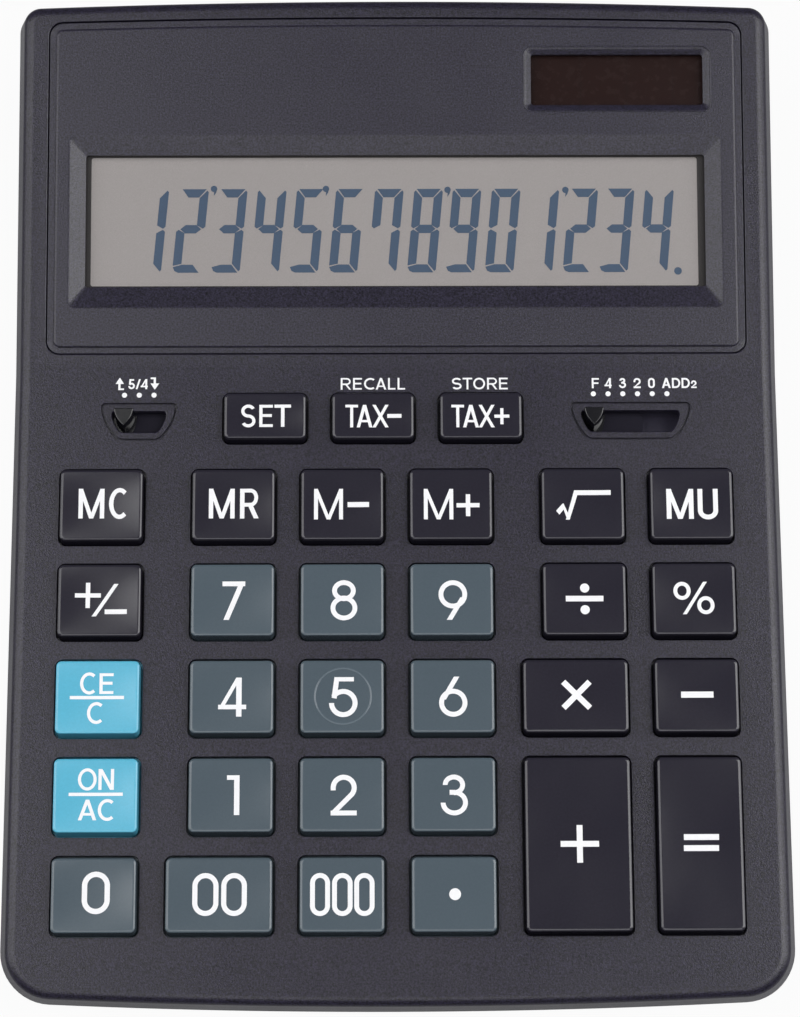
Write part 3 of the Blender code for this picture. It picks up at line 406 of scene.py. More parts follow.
def board_material():
    """Green solder mask over a pattern of traces, which a wave texture stands for."""
    made, tree, shader = tree_of("solder_mask")
    wave = add_node(tree, "TexWave", {"Vector": object_spot(tree), "Scale": 160.0, "Distortion": 3.0,
                                      "Detail Scale": 0.5}, "Fac")
    feed(tree, shader, {"Base Color": tint(tree, wave, (0.025, 0.12, 0.045), (0.045, 0.20, 0.075)),
                        "Normal": bump(tree, wave, 0.2, 0.00004),
                        "Roughness": spread(tree, noise(tree, 0.01), 0.40, 0.50)})
    return made


CHARCOAL = surface("charcoal_plastic_grain", (0.0140, 0.0120, 0.0240), 0.31, 0.00028, 0.90, 0.00014,
                   specular=0.47, mottle=1.3)
FASCIA_LOOK = surface("fascia_plastic_grain", (0.0165, 0.0145, 0.0275), 0.32, 0.00028, 0.90, 0.00014,
                      mottle=1.3)
BLACK_KEY = surface("black_key_gloss", (0.0170, 0.0155, 0.0250), 0.18, 0.00045, 0.08, 0.000006,
                    specular=0.56)
# The touch ring's colour is the slate key's colour made lighter: a painted highlight on the ring.
SLATE_KEY, CYAN_KEY, TOUCH_RING_HIGHLIGHT = (
    surface(name, colour, 0.19, 0.00035, 0.03, 0.000006, specular=0.56)
    for name, colour in (("slate_key_gloss", (0.073, 0.098, 0.119)),
                         ("cyan_key_gloss", (0.102, 0.440, 0.615)),
                         ("touch_ring_painted_highlight", (0.105, 0.136, 0.162))))
KNOB = surface("knob_moulding", (0.005, 0.005, 0.007), 0.13, 0.00030, 0.10, 0.000006, specular=0.85)
SLIDER_LOOK = surface("slider_plate", (0.012, 0.011, 0.018), 0.45, 0.00030, 0.10, 0.00001,
                      specular=0.06)
PRINT = surface("legend_print", (0.86, 0.86, 0.88), 0.45, 0.00040, 0.02, 0.000005)
SEGMENT = surface("lcd_segment", (0.006, 0.045, 0.108), 0.55, 0.00040, 0.05, 0.000005)
FILM = surface("contact_film", (0.044, 0.040, 0.066), 0.50, 0.0006, 0.08, 0.00001, specular=0.2)
# Near-black frame colour: a printed border, made darker as painted shade.
MASK_AND_SHADE_LOOK = surface("window_mask_and_painted_shade", (0.004, 0.003, 0.005), 0.50, 0.0006, 0.08, 0.000005, specular=0.2)
RUBBER = surface("foot_rubber_grain", (0.02, 0.02, 0.021), 0.80, 0.0004, 0.15, 0.00004)
STEEL = surface("plated_steel", (0.47, 0.47, 0.48), 0.32, 0.0004, 0.08, 0.00001, metallic=1.0)
NICKEL = surface("nickel_plate", (0.62, 0.61, 0.58), 0.28, 0.0003, 0.06, 0.00001, metallic=1.0,
                 stretch=(1.0, 8.0, 1.0))

# Looks of the CAD nodes that stay in view as they are
NODE_LOOKS = {
    "display_window": clear("window_acrylic", (0.34, 0.32, 0.31), 0.05),
    "solar_window": clear("solar_acrylic", (0.020, 0.015, 0.015), 0.04),
    "lcd_panel": surface("lcd_reflector", (0.302, 0.279, 0.273), 0.55, 0.00026, 0.05, 0.000005),
    "solar_cell": solar_material(), "main_pcb": board_material(),
    "controller_chip": surface("epoxy_blob_gloss", (0.012, 0.012, 0.012), 0.28, 0.0015, 0.10, 0.00003),
    "key_membrane": surface("silicone_sheet", (0.30, 0.31, 0.32), 0.75, 0.0004, 0.05, 0.00002),
    "lcd_ribbon": surface("polyimide_ribbon", (0.36, 0.20, 0.06), 0.40, 0.0005, 0.10, 0.00001,
                          stretch=(8.0, 1.0, 1.0)),
    "solar_lead": surface("lead_insulation", (0.35, 0.02, 0.02), 0.48, 0.0006, 0.08, 0.00002),
    "button_cell": NICKEL, "battery_contact_positive": NICKEL, "battery_contact_negative": NICKEL}


# Forms, as in the CAD source but finer


def on_slope(slope, x, s, n):
    """World point at width x, s along and n off the plane that leaves the fold at the slope."""
    return Vector((x, FOLD_Y + s * cos(slope) - n * sin(slope),
                   FOLD_Z + s * sin(slope) + n * cos(slope)))


def place(x, s, n):
    """World point off the bent top face, mitred where s is zero."""
    if s == 0:
        return on_slope(DECK_SLOPE + DISPLAY_TILT / 2, x, s, n / cos(DISPLAY_TILT / 2))
    return on_slope(DISPLAY_SLOPE if s > 0 else DECK_SLOPE, x, s, n)


BAY_Y = place(0.0, BAY_S, 0.0).y


def arc(x, s, radius, turns, steps):
    """Quarter turn of points, counter-clockwise from a start given in quarter turns."""
    angles = [pi / 2 * (turns + i / steps) for i in range(steps + 1)]
    return [(x + radius * cos(a), s + radius * sin(a)) for a in angles]


def outline(half, front, back, front_corner, back_corner, front_bow=0.0, back_bow=0.0,
            folded=False, steps=CORNER_STEPS):
    """Counter-clockwise rounded outline; a folded one also has both points of the fold line."""
    along = [1 - 2 * i / BOW_STEPS for i in range(1, BOW_STEPS)]
    rear = arc(half - back_corner, back - back_corner, back_corner, 0, steps)
    rear += [(share * (half - back_corner), back) for share in along if back_bow]
    rear += arc(back_corner - half, back - back_corner, back_corner, 1, steps)
    fore = arc(front_corner - half, front + front_corner, front_corner, 2, steps)
    fore += [(-share * (half - front_corner), front) for share in along if front_bow]
    fore += arc(half - front_corner, front + front_corner, front_corner, 3, steps)
    rear = [(x, s + back_bow * (1 - (x / half) ** 2)) for x, s in rear]
    fore = [(x, s - front_bow * (1 - (x / half) ** 2)) for x, s in fore]
    if folded:
        return [(half, 0.0)] + rear + [(-half, 0.0)] + fore
    return rear + fore


def rectangle(half_x, half_s, corner):
    return outline(half_x, -half_s, half_s, corner, corner, steps=RECTANGLE_STEPS)


def divided(points, corner_count, parts):
    """Rounded rectangle with each of its four straight sides cut into parts."""
    made = []
    for i, (x, s) in enumerate(points):
        made.append((x, s))
        if (i + 1) % corner_count == 0:
            next_x, next_s = points[(i + 1) % len(points)]
            made += [(x + (next_x - x) * k / parts, s + (next_s - s) * k / parts)
                     for k in range(1, parts)]
    return made


def shifted(points, dx, ds=0.0):
    return [(x + dx, s + ds) for x, s in points]


def case_outline(side, end):
    """Outline of the case, drawn in by side and end from the foot of the skirt."""
    shrink = (side + end) / 2
    return outline(CASE_WIDTH / 2 - side, end - DECK_LENGTH, DISPLAY_LENGTH - end,
                   max(FRONT_CORNER - shrink, LEAST_CORNER), max(BACK_CORNER - shrink, LEAST_CORNER),
                   FRONT_BOW, BACK_BOW, folded=True)


def case_ring(inset, n):
    """Ring round the case at height n, drawn in from the flared skirt by the inset."""
    rise = 1 + n / SKIRT_DEPTH
    points = case_outline(inset + SIDE_FLARE * rise, inset + END_FLARE * rise)
    return [place(x, s, n) for x, s in points]


def parting_ring(inset, n):
    """Ring at height n, drawn in from the foot of the skirt, for the bottom cover."""
    return [place(x, s, n) for x, s in case_outline(inset, inset)]


def dropped(ring, z):
    return [Vector((point.x, point.y, z)) for point in ring]


def flat_ring(points, n):
    return [Vector((x, s, n)) for x, s in points]


def quarter(steps):
    return [pi / 2 * i / steps for i in range(steps + 1)]


def rounding(reach, drop, steps=EDGE_STEPS):
    """Quarter round up to a level top: how far in and how far down each point lies."""
    return [(reach * (1 - cos(a)), drop * (sin(a) - 1)) for a in quarter(steps)]


def stacked(shape, profile):
    """Rings of an outline that depends on a margin; the profile gives margins and heights."""
    return [flat_ring(shape(margin), n) for margin, n in profile]


def skin(bm, rings, closed=False):
    """Faces between neighbouring rings of points, and from the last to the first if closed."""
    rows = [[bm.verts.new(point) for point in ring] for ring in rings]
    for row, following in zip(rows, rows[1:] + rows[:1] if closed else rows[1:]):
        for i in range(len(row)):
            j = (i + 1) % len(row)
            bm.faces.new((row[i], row[j], following[j], following[i]))
    return rows


def add_loft(bm, rings, fold=None):
    """Closed body through rings of points; fold is the index that splits both caps in two."""
    rows = skin(bm, rings)
    for row, turned in ((rows[0], True), (rows[-1], False)):
        for face in [row] if fold is None else [row[:fold + 1], row[fold:] + row[:1]]:
            bm.faces.new(face[::-1] if turned else face)


def add_prism(bm, points, low, high):
    add_loft(bm, [flat_ring(points, low), flat_ring(points, high)])


def add_band(bm, outer, inner, low, high):
    """Closed band between two outlines with the same number of points."""
    skin(bm, [flat_ring(points, n) for points, n in
              ((outer, low), (outer, high), (inner, high), (inner, low))], closed=True)


def add_box(bm, low, high):
    low, high = Vector(low), Vector(high)
    made = bmesh.ops.create_cube(bm, size=1.0)
    bmesh.ops.scale(bm, verts=made["verts"], vec=high - low)
    bmesh.ops.translate(bm, verts=made["verts"], vec=(low + high) / 2)


def add_block(bm, x, y, half_x, half_y, low, high):
    """Box round an upright axis."""
    add_box(bm, (x - half_x, y - half_y, low), (x + half_x, y + half_y, high))


def add_turned(bm, x, y, profile, sides=ROUND_SIDES):
    """Body turned round an upright axis; the profile gives radius and height from foot to top."""
    angles = [2 * pi * i / sides for i in range(sides)]
    add_loft(bm, [[Vector((x + radius * cos(a), y + radius * sin(a), z)) for a in angles]
                  for radius, z in profile])


def add_cylinder(bm, x, y, low, high, radius, sides=ROUND_SIDES):
    add_turned(bm, x, y, ((radius, low), (radius, high)), sides)


def rounded_profile(radius, low, high, edge, steps=4):
    """Profile of a plain cylinder with a rounded foot."""
    foot = [(radius - edge + edge * sin(a), low + edge - edge * cos(a)) for a in quarter(steps)]
    return foot + [(radius, high)]


def linked(name, data):
    thing = bpy.data.objects.new(name, data)
    bpy.context.scene.collection.objects.link(thing)
    return thing


def new_object(name, bm, matrix):
    bmesh.ops.recalc_face_normals(bm, faces=bm.faces)
    mesh = bpy.data.meshes.new(name)
    bm.to_mesh(mesh)
    bm.free()
    thing = linked(name, mesh)
    thing.matrix_world = matrix
    return thing


def smooth(thing):
    """Smooth shading with sharp edges kept, and normals that lean to the large faces."""
    thing.data.shade_smooth()
    thing.data.set_sharp_from_angle(angle=SHARP_ANGLE)
    weighted = thing.modifiers.new("normals", "WEIGHTED_NORMAL")
    weighted.keep_sharp = True
    weighted.weight = 80


def add_cut(cuts, matrix=WORLD, operation="DIFFERENCE"):
    """Empty mesh at the end of the cuts, for the caller to fill."""
    cuts.append((bmesh.new(), matrix, operation))
    return cuts[-1][0]


def carve(thing, cuts):
    """Runs the cuts, each a mesh with its axes and operation, and keeps the result."""
    helpers = []
    for index, (bm, matrix, operation) in enumerate(cuts):
        helper = new_object(f"{thing.name}_cut_{index}", bm, matrix)
        cut = thing.modifiers.new(helper.name, "BOOLEAN")
        cut.operation = operation
        cut.object = helper
        cut.solver = "EXACT"
        helpers.append(helper)
    bpy.context.view_layer.update()
    graph = bpy.context.evaluated_depsgraph_get()
    carved = bpy.data.meshes.new_from_object(thing.evaluated_get(graph), depsgraph=graph)
    thing.modifiers.clear()
    thing.data = carved
    for helper in helpers:
        bpy.data.objects.remove(helper, do_unlink=True)


def piece(name, bm, matrix, look, body, *nodes, cuts=()):
    """Finished piece that rides on a body and stands for the named CAD nodes."""
    thing = new_object(name, bm, matrix)
    if cuts:
        carve(thing, cuts)
        thing.data.materials.clear()
    thing.data.materials.append(look)
    smooth(thing)
    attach(thing, body)
    if nodes or cuts:
        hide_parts(*nodes)
    return thing


# Keys

KEY_ROWS = ("mc mr m_minus m_plus square_root mu", "sign 7 8 9 divide percent",
            "ce_c 4 5 6 multiply minus", "on_ac 1 2 3 plus equals", "0 00 000 point")


def key_layout():
    """Name, centre, opening size and look of every key."""
    keys = [(f"key_{label}", COLUMNS[column] + SMALL_ROW_SHIFT, SMALL_ROW,
             (OPENING_WIDTH, SMALL_OPENING), BLACK_KEY)
            for label, column in (("set", 1), ("tax_minus", 2), ("tax_plus", 3))]
    for row, line in enumerate(KEY_ROWS):
        for column, label in enumerate(line.split()):
            x, s, look = COLUMNS[column], ROWS[row], BLACK_KEY
            width, depth = OPENING_WIDTH, OPENING_DEPTH
            if label in ("ce_c", "on_ac"):
                look = CYAN_KEY
            elif row > 0 and column in (1, 2, 3) or row == len(ROWS) - 1:
                look = SLATE_KEY
            if label in ("multiply", "00", "plus"):
                x, width = x - WIDE_EXTRA / 2, width + WIDE_EXTRA
            if label in ("plus", "equals"):
                s, depth = TALL_ROW, TALL_OPENING
            keys.append((f"key_{label}", x, s, (width, depth), look))
    return keys


def face_halves(opening):
    """Half sides of the key's top, at the foot of its rounded edge."""
    return (opening[0] / 2 - KEY_GAP - KEY_TAPER_SIDE, opening[1] / 2 - KEY_GAP - KEY_TAPER_END)


def face_height(opening, x, s):
    """Height of the dished key face at a place measured from the key's centre."""
    half_x, half_s = (half - KEY_EDGE for half in face_halves(opening))
    share_x, share_s = min(1.0, abs(x / half_x)), min(1.0, abs(s / half_s))
    return KEY_PROUD - KEY_DISH * (1 - share_x ** 2) * (1 - share_s ** 2)


def key_outline(half_x, half_s, corner):
    return divided(rectangle(half_x, half_s, corner), RECTANGLE_STEPS + 1, KEY_SIDE_PARTS)


def key_rings(opening):
    half_x, half_s = (side / 2 - KEY_GAP for side in opening)
    flange_x, flange_s = (side / 2 + FLANGE_LAP for side in opening)
    face_x, face_s = face_halves(opening)
    ceiling = KEY_PROUD - KEY_DISH - KEY_WALL
    sections = [
        (PLUNGER_HALF, PLUNGER_HALF, PLUNGER_CORNER, PLUNGER_FOOT),
        (PLUNGER_HALF, PLUNGER_HALF, PLUNGER_CORNER, ceiling),
        (half_x - KEY_WALL, half_s - KEY_WALL, PLUNGER_CORNER, ceiling),
        (half_x - KEY_WALL, half_s - KEY_WALL, PLUNGER_CORNER, FLANGE_FOOT),
        (flange_x, flange_s, KEY_CORNER, FLANGE_FOOT),
        (flange_x, flange_s, KEY_CORNER, FLANGE_TOP),
        (half_x, half_s, KEY_CORNER, FLANGE_TOP)]
    for a in quarter(6):
        turn = a * KEY_ROUND_SHARE
        inset = KEY_ROUND * (1 - cos(turn))
        sections.append((face_x - inset, face_s - inset, KEY_FACE_CORNER - inset,
                         KEY_PROUD - KEY_CHAMFER - KEY_ROUND * (1 - sin(turn))))
    flat = face_x - KEY_EDGE, face_s - KEY_EDGE, KEY_FACE_CORNER - KEY_EDGE
    sections.append((*flat, KEY_PROUD))
    rings = [flat_ring(key_outline(x, s, c), n) for x, s, c, n in sections]
    for share in KEY_DISH_SHARES:
        rings.append([Vector((x, s, face_height(opening, x, s)))
                      for x, s in key_outline(*(side * share for side in flat))])
    return rings


def key_spot(x, s):
    return DECK @ Matrix.Translation((x, s, 0.0))


def make_keys():
    for name, x, s, opening, look in key_layout():
        bm = bmesh.new()
        add_loft(bm, key_rings(opening))
        piece(f"{name}_cap", bm, key_spot(x, s), look, name, name)


# Legends: strips of cross lines, each a pair of points, in a box of width w and height h


def bar(x0, y0, x1, y1):
    if x1 - x0 > y1 - y0:
        return [((x0, y0), (x0, y1)), ((x1, y0), (x1, y1))]
    return [((x0, y0), (x1, y0)), ((x0, y1), (x1, y1))]


def slant(foot, top, width, low, high):
    """Leaning stroke with level ends; foot and top are its left corners."""
    return [((foot, low), (foot + width, low)), ((top, high), (top + width, high))]


def bow(cx, cy, rx, ry, t, start, end, steps=28):
    """Part of an elliptical ring, between two angles in degrees."""
    pairs = []
    for i in range(steps + 1):
        a = radians(start + (end - start) * i / steps)
        pairs.append(((cx + rx * cos(a), cy + ry * sin(a)),
                      (cx + (rx - t) * cos(a), cy + (ry - t) * sin(a))))
    return pairs


def disc(cx, cy, r, steps=16):
    angles = [radians(4 + 172 * i / steps) for i in range(steps + 1)]
    return [((cx - r * sin(a), cy + r * cos(a)), (cx + r * sin(a), cy + r * cos(a))) for a in angles]


def crossed(cx, cy, reach, t):
    """Two strokes that cross at right angles on the slant."""
    d, e = (reach - t / 2) / 2 ** 0.5, t / 2 / 2 ** 0.5
    d += e
    one = [((cx - d - e, cy - d + e), (cx - d + e, cy - d - e)),
           ((cx + d - e, cy + d + e), (cx + d + e, cy + d - e))]
    return [one, [tuple((2 * cx - x, y) for x, y in pair) for pair in one]]


def glyph_strips(glyph, w, h, t):
    """Strips of a glyph in a box of width w and height h, with strokes of width t."""
    r, third, beam = w / 2, 0.25 * (h + t), 0.85 * t
    curl = [((0.0, h - r * 1.2), (t, h - r * 1.2))] + bow(r, h - r, r, r, t, 180, -38)
    round_top, round_foot = bow(r, h - r, r, r, t, 0, 180), bow(r, r, r, r, t, 180, 360)
    stem, upright = bar(0.0, 0.0, t, h), bar(r - t / 2, 0.0, r + t / 2, h)
    foot_beam, top_beam = bar(0.0, 0.0, w, 0.9 * t), bar(0.0, h - 0.9 * t, w, h)
    stroke, level = slant(0.0, w - 1.15 * t, 1.15 * t, 0.0, h), bar(0.0, (h - t) / 2, w, (h + t) / 2)
    leg, side, rx, ry = 0.95 * t, 1.12 * t, 0.212 * w, 0.278 * h
    six = [bow(r, r, r, r, t, 0, 360, 40), slant(0.05 * w, 0.53 * w, t * 1.12, 0.43 * h, h)]
    return {
        "0": [round_top + round_foot + round_top[:1]],
        "1": [bar(w - t, 0.0, w, h), bar(0.0, h - beam, w - t / 2, h)],
        "2": [curl, [curl[-1], ((0.31 * w, t * 0.95), (0.0, 0.085 * h))], bar(0.0, 0.0, w, t * 0.97)],
        "3": [bow(0.49 * w, 0.747 * h, 0.41 * w, 0.253 * h, t, 180, -90),
              bow(r, 0.312 * h, r, 0.312 * h, t, 90, -180),
              bar(0.33 * w, 0.624 * h - t, 0.52 * w, 0.624 * h)],
        "4": [bar(0.64 * w, 0.0, 0.64 * w + t * 1.05, h), bar(0.0, 0.19 * h, w, 0.19 * h + t * 0.87),
              slant(0.0, 0.64 * w, beam, 0.19 * h + t * 0.05, h)],
        "5": [bow(r, r, r, r, t, 146, -180, 36),
              [((0.09 * w, 0.485 * h), (0.09 * w + t, 0.46 * h)), ((0.19 * w, h), (0.19 * w + t, h))],
              bar(0.19 * w, h - t * 0.86, 0.87 * w, h)],
        "6": six,
        "7": [bar(0.0, h - leg, w, h), slant(0.055 * w, w - 1.08 * t, 1.08 * t, 0.0, h)],
        "8": [bow(r, 0.74 * h, 0.44 * w, 0.26 * h, t, 0, 360, 36),
              bow(r, 0.308 * h, r, 0.308 * h, t, 0, 360, 40)],
        "9": [[tuple((w - x, h - y) for x, y in pair) for pair in strip] for strip in six],
        "A": [slant(0.0, r - side / 2, side, 0.0, h), slant(w - side, r - side / 2, side, 0.0, h),
              bar(0.22 * w, 0.23 * h, 0.78 * w, 0.23 * h + t * 0.8)],
        "C": [bow(0.61 * w, h / 2, 0.61 * w, h / 2, t, 50, 310)],
        "D": [stem, bar(0.0, 0.0, 0.45 * w, t), bar(0.0, h - t, 0.45 * w, h),
              bow(0.44 * w, h / 2, 0.56 * w, h / 2, t, -90, 90)],
        "E": [stem, foot_beam, top_beam,
              bar(0.0, 0.52 * h - 0.45 * t, 0.93 * w, 0.52 * h + 0.45 * t)],
        "F": [stem, top_beam, bar(0.0, 0.5 * h - 0.45 * t, 0.93 * w, 0.5 * h + 0.45 * t)],
        "L": [stem, foot_beam],
        "M": [stem, bar(w - t, 0.0, w, h), slant(r - leg / 2, 0.0, leg, 0.0, h),
              slant(r - leg / 2, w - leg, leg, 0.0, h)],
        "N": [stem, bar(w - t, 0.0, w, h), slant(w - 1.2 * t, 0.0, 1.2 * t, 0.0, h)],
        "O": [bow(r, h / 2, r, h / 2, t, 0, 360, 36)],
        "R": [stem, bar(0.0, h - beam, 0.58 * w, h), bar(0.0, 0.40 * h, 0.58 * w, 0.40 * h + beam),
              bow(0.56 * w, (h + 0.40 * h) / 2, 0.40 * w, (h - 0.40 * h) / 2, beam, -90, 90),
              slant(w - t * 1.1, 0.42 * w, t * 1.1, 0.0, 0.44 * h)],
        "S": [bow(r, h - third, r, third, t, 28, 270), bow(r, third, r, third, t, 90, -152)],
        "T": [top_beam, upright],
        "U": [[((0.0, h), (t, h))] + bow(r, 0.45 * w, r, 0.45 * w, t, 180, 360)
              + [((w, h), (w - t, h))]],
        "X": [stroke, slant(w - 1.15 * t, 0.0, 1.15 * t, 0.0, h)],
        "+": [level, upright], "-": [bar(0.0, 0.0, w, h)], "/": [stroke],
        "x": crossed(r, h / 2, w / 2 ** 0.5 - t / 2, t), "dot": [disc(r, h / 2, r)],
        "root": [[((0.0, 0.30 * h), (0.06 * w, 0.17 * h)),
                  ((0.105 * w, 0.52 * h), (0.16 * w, 0.40 * h))],
                 [((0.105 * w, 0.52 * h), (0.20 * w, 0.0)),
                  ((0.135 * w, 0.56 * h), (0.245 * w, 0.10 * h))],
                 [((0.175 * w, 0.0), (0.245 * w, 0.0)), ((0.335 * w, h), (0.42 * w, h))],
                 bar(0.345 * w, h - t * 1.05, w, h)],
        "%": [bow(rx, h - ry, rx, ry, t, 0, 360, 32), bow(w - rx, ry, rx, ry, t, 0, 360, 32),
              slant(0.22 * w, 0.79 * w - t * 0.6, t, 0.0, h)],
        "up": [[((0.0, 0.5 * h), (w, 0.5 * h)), ((0.48 * w, h), (0.52 * w, h))],
               bar(0.33 * w, 0.0, 0.33 * w + t, 0.55 * h), bar(0.33 * w, 0.0, w, 0.8 * t)],
        "down": [[((0.0, 0.5 * h), (w, 0.5 * h)), ((0.48 * w, 0.0), (0.52 * w, 0.0))],
                 bar(0.36 * w, 0.45 * h, 0.36 * w + t, h), bar(0.0, h - 0.8 * t, 0.4 * w, h)]}[glyph]

# Rows of glyph, left, right, front, back and stroke, in millimetres from the key's centre
LEGENDS = {
    "set": "S -4.75 -1.9 -2.42 2.3 0.72  E -1.13 1.58 -2.35 2.25 0.72  T 1.91 5.22 -2.32 2.28 0.8",
    "tax_minus": "T -5.53 -3.01 -2.47 2.22 0.68  A -3.27 -0.11 -2.47 2.21 0.66  "
        "X -0.12 3.12 -2.48 2.2 0.66  - 2.85 5.71 -0.51 0.29 0.8",
    "tax_plus": "T -5.92 -3.39 -2.51 2.17 0.68  A -3.62 -0.43 -2.52 2.16 0.66  "
        "X -0.47 2.73 -2.52 2.16 0.66  + 2.68 5.69 -1.88 1.46 0.72",
    "mc": "M -4.5 0.62 -2.76 3.31 0.98  C 1.55 5.0 -2.89 3.45 0.98",
    "mr": "M -4.87 0.26 -2.82 3.25 0.98  R 1.32 5.06 -2.84 3.24 1.0",
    "m_minus": "M -5.61 0.15 -3.07 3.18 0.88  - 1.06 5.33 -0.56 0.47 1.0",
    "m_plus": "M -5.42 0.44 -3.11 3.12 0.88  + 1.09 5.66 -2.47 2.01 0.98",
    "square_root": "root -5.38 5.56 -3.23 2.78 1.05",
    "mu": "M -5.02 0.37 -3.12 3.01 1.08  U 1.21 5.23 -3.24 3.0 1.08",
    "sign": "+ -4.81 0.3 -1.55 3.53 0.97  / -1.46 3.75 -3.25 3.29 0.84  - 1.1 5.48 -2.79 -1.84 0.94",
    "7": "7 -2.0 2.5 -4.02 3.72 1.12",
    "8": "8 -2.3 2.99 -4.16 3.92 1.07",
    "9": "9 -2.63 3.04 -4.11 3.86 1.08",
    "divide": "- -3.75 3.68 -0.46 0.66 1.1  dot -0.91 0.92 1.32 3.15 1.0  "
        "dot -0.89 0.95 -3.05 -1.23 1.0",
    "percent": "% -4.11 3.96 -3.11 3.43 0.86",
    "ce_c": "C -3.42 -0.45 0.54 4.91 0.7  E 0.38 3.13 0.63 4.73 0.72  - -5.36 5.24 -0.41 0.24 0.65  "
        "C -1.95 1.05 -5.32 -0.97 0.7",
    "4": "4 -2.6 2.87 -3.93 3.79 1.15",
    "5": "5 -2.56 3.03 -4.09 3.84 1.1",
    "6": "6 -2.66 2.89 -4.07 3.88 1.08",
    "multiply": "x -2.87 3.13 -2.77 3.18 1.3",
    "minus": "- -3.13 3.23 -0.43 0.79 1.3",
    "on_ac": "O -3.42 0.21 0.99 5.32 0.68  N 0.56 3.59 1.11 5.18 0.7  - -5.16 5.35 -0.08 0.56 0.65  "
        "A -3.29 0.3 -4.82 -0.8 0.7  C 0.55 3.57 -4.96 -0.68 0.7",
    "1": "1 -0.73 1.72 -3.89 3.88 1.18",
    "2": "2 -2.21 2.85 -4.02 3.92 1.1",
    "3": "3 -2.49 2.8 -4.07 3.89 1.06",
    "plus": "+ -3.49 3.95 -3.64 3.65 1.28",
    "equals": "- -3.32 3.5 0.67 1.82 1.1  - -3.38 3.44 -1.46 -0.32 1.1",
    "0": "0 -2.2 3.2 -3.57 4.59 1.15",
    "00": "0 -5.09 -0.05 -3.99 4.25 1.1  0 0.48 5.42 -4.01 4.24 1.1",
    "000": "0 -6.15 -2.31 -4.07 4.19 1.05  0 -1.91 2.05 -4.08 4.17 1.05  0 2.36 6.28 -4.09 4.16 1.05",
    "point": "dot -0.97 1.31 -1.1 1.18 1.0"}

# The same for the words and dots printed on the deck, from the fold line's middle
DECK_WORDS = (
    "up -56.57 -54.85 -4.34 -1.77 0.5  5 -54.01 -52.67 -4.15 -2.06 0.42  "
    "/ -52.5 -51.5 -4.15 -2.06 0.36  4 -51.5 -50.06 -4.15 -2.06 0.42  "
    "down -49.52 -47.77 -4.22 -1.7 0.5  R -11.18 -9.08 -4.35 -1.9 0.42  E -8.69 -6.9 -4.35 -1.9 0.42  "
    "C -6.48 -4.35 -4.35 -1.9 0.42  A -4.13 -1.99 -4.35 -1.9 0.4  L -1.64 -0.14 -4.35 -1.9 0.42  "
    "L 0.29 1.81 -4.35 -1.9 0.42  S 11.27 13.2 -4.35 -1.9 0.42  T 13.42 15.36 -4.35 -1.9 0.42  "
    "O 15.55 17.95 -4.35 -1.9 0.42  R 18.34 20.42 -4.35 -1.9 0.42  E 20.76 22.52 -4.35 -1.9 0.42  "
    "F 39.49 40.94 -4.14 -2.02 0.42  4 42.04 43.49 -4.14 -2.02 0.42  3 44.97 46.4 -4.14 -2.02 0.42  "
    "2 47.92 49.37 -4.14 -2.02 0.42  0 50.85 52.22 -4.14 -2.02 0.42  A 53.64 55.43 -4.14 -2.02 0.42  "
    "D 55.68 57.36 -4.14 -2.02 0.42  D 57.62 59.29 -4.14 -2.02 0.42  2 59.54 60.64 -4.14 -2.55 0.36")
DOT_RADIUS = 0.52
DOT_STROKE = 0.5
DECK_DOTS = ([(-54.72 + 2.97 * i, -5.42) for i in range(3)]
             + [(39.76 + 2.97 * i, -5.32) for i in range(6)])
TOUCH_RING = 0.0055
TOUCH_MIDDLE = (0.00016, 0.00009)
TOUCH_PROFILE = ((-0.00021, -0.00003), (-0.00015, 0.00002), (-0.00005, 0.000045),
                 (0.00005, 0.000045), (0.00015, 0.00002), (0.00021, -0.00003))
MM = 0.001
STROKE_SHARE = 0.89
INK = 0.00003
INK_STEP = 0.000002
INK_SINK = 0.00006
INK_SPAN = 0.0012


def spaced(strip):
    """The strip with more cross lines wherever two are far apart."""
    made = [strip[0]]
    for (a, b), (c, d) in zip(strip, strip[1:]):
        span = max(hypot(c[0] - a[0], c[1] - a[1]), hypot(d[0] - b[0], d[1] - b[1]))
        parts = max(1, int(span / INK_SPAN + 0.999))
        made += [tuple(tuple(p + (q - p) * (k / parts) for p, q in zip(*ends))
                       for ends in ((a, c), (b, d))) for k in range(1, parts + 1)]
    return made


def add_strip(bm, strip, height, level):
    """Closed thin body over a strip; height gives the surface that it is printed on."""
    closed = strip[0] == strip[-1] and len(strip) > 2
    rings = []
    for pair in strip[:-1] if closed else strip:
        low, high = ([(x, s, height(x, s) + rise) for x, s in pair]
                     for rise in (-INK_SINK, INK + level * INK_STEP))
        rings.append(low + high[::-1])
    if closed:
        skin(bm, rings, closed=True)
    else:
        add_loft(bm, rings)


def add_glyph(bm, row, height, level):
    """Adds one glyph and returns the level of the next, so that no two strips lie level."""
    glyph, left, right, front, back, stroke = row
    strips = glyph_strips(glyph, (right - left) * MM, (back - front) * MM, stroke * STROKE_SHARE * MM)
    for i, strip in enumerate(strips):
        moved = [tuple((x + left * MM, s + front * MM) for x, s in pair) for pair in strip]
        if hypot(moved[0][0][0] - moved[-1][0][0], moved[0][0][1] - moved[-1][0][1]) < 1e-7:
            moved[-1] = moved[0]
        add_strip(bm, spaced(moved), height, level + i)
    return level + len(strips)


def glyph_rows(text):
    """Rows of a glyph and its five measures."""
    words = text.split()
    return [(words[i], *map(float, words[i + 1:i + 6])) for i in range(0, len(words), 6)]


def make_legends():
    for name, x, s, opening, _ in key_layout():
        bm, level = bmesh.new(), 0
        height = lambda px, ps, size=opening: face_height(size, px, ps)
        for row in glyph_rows(LEGENDS[name.removeprefix("key_")]):
            level = add_glyph(bm, row, height, level)
        piece(f"{name}_legend", bm, key_spot(x, s), PRINT, name).modifiers.clear()


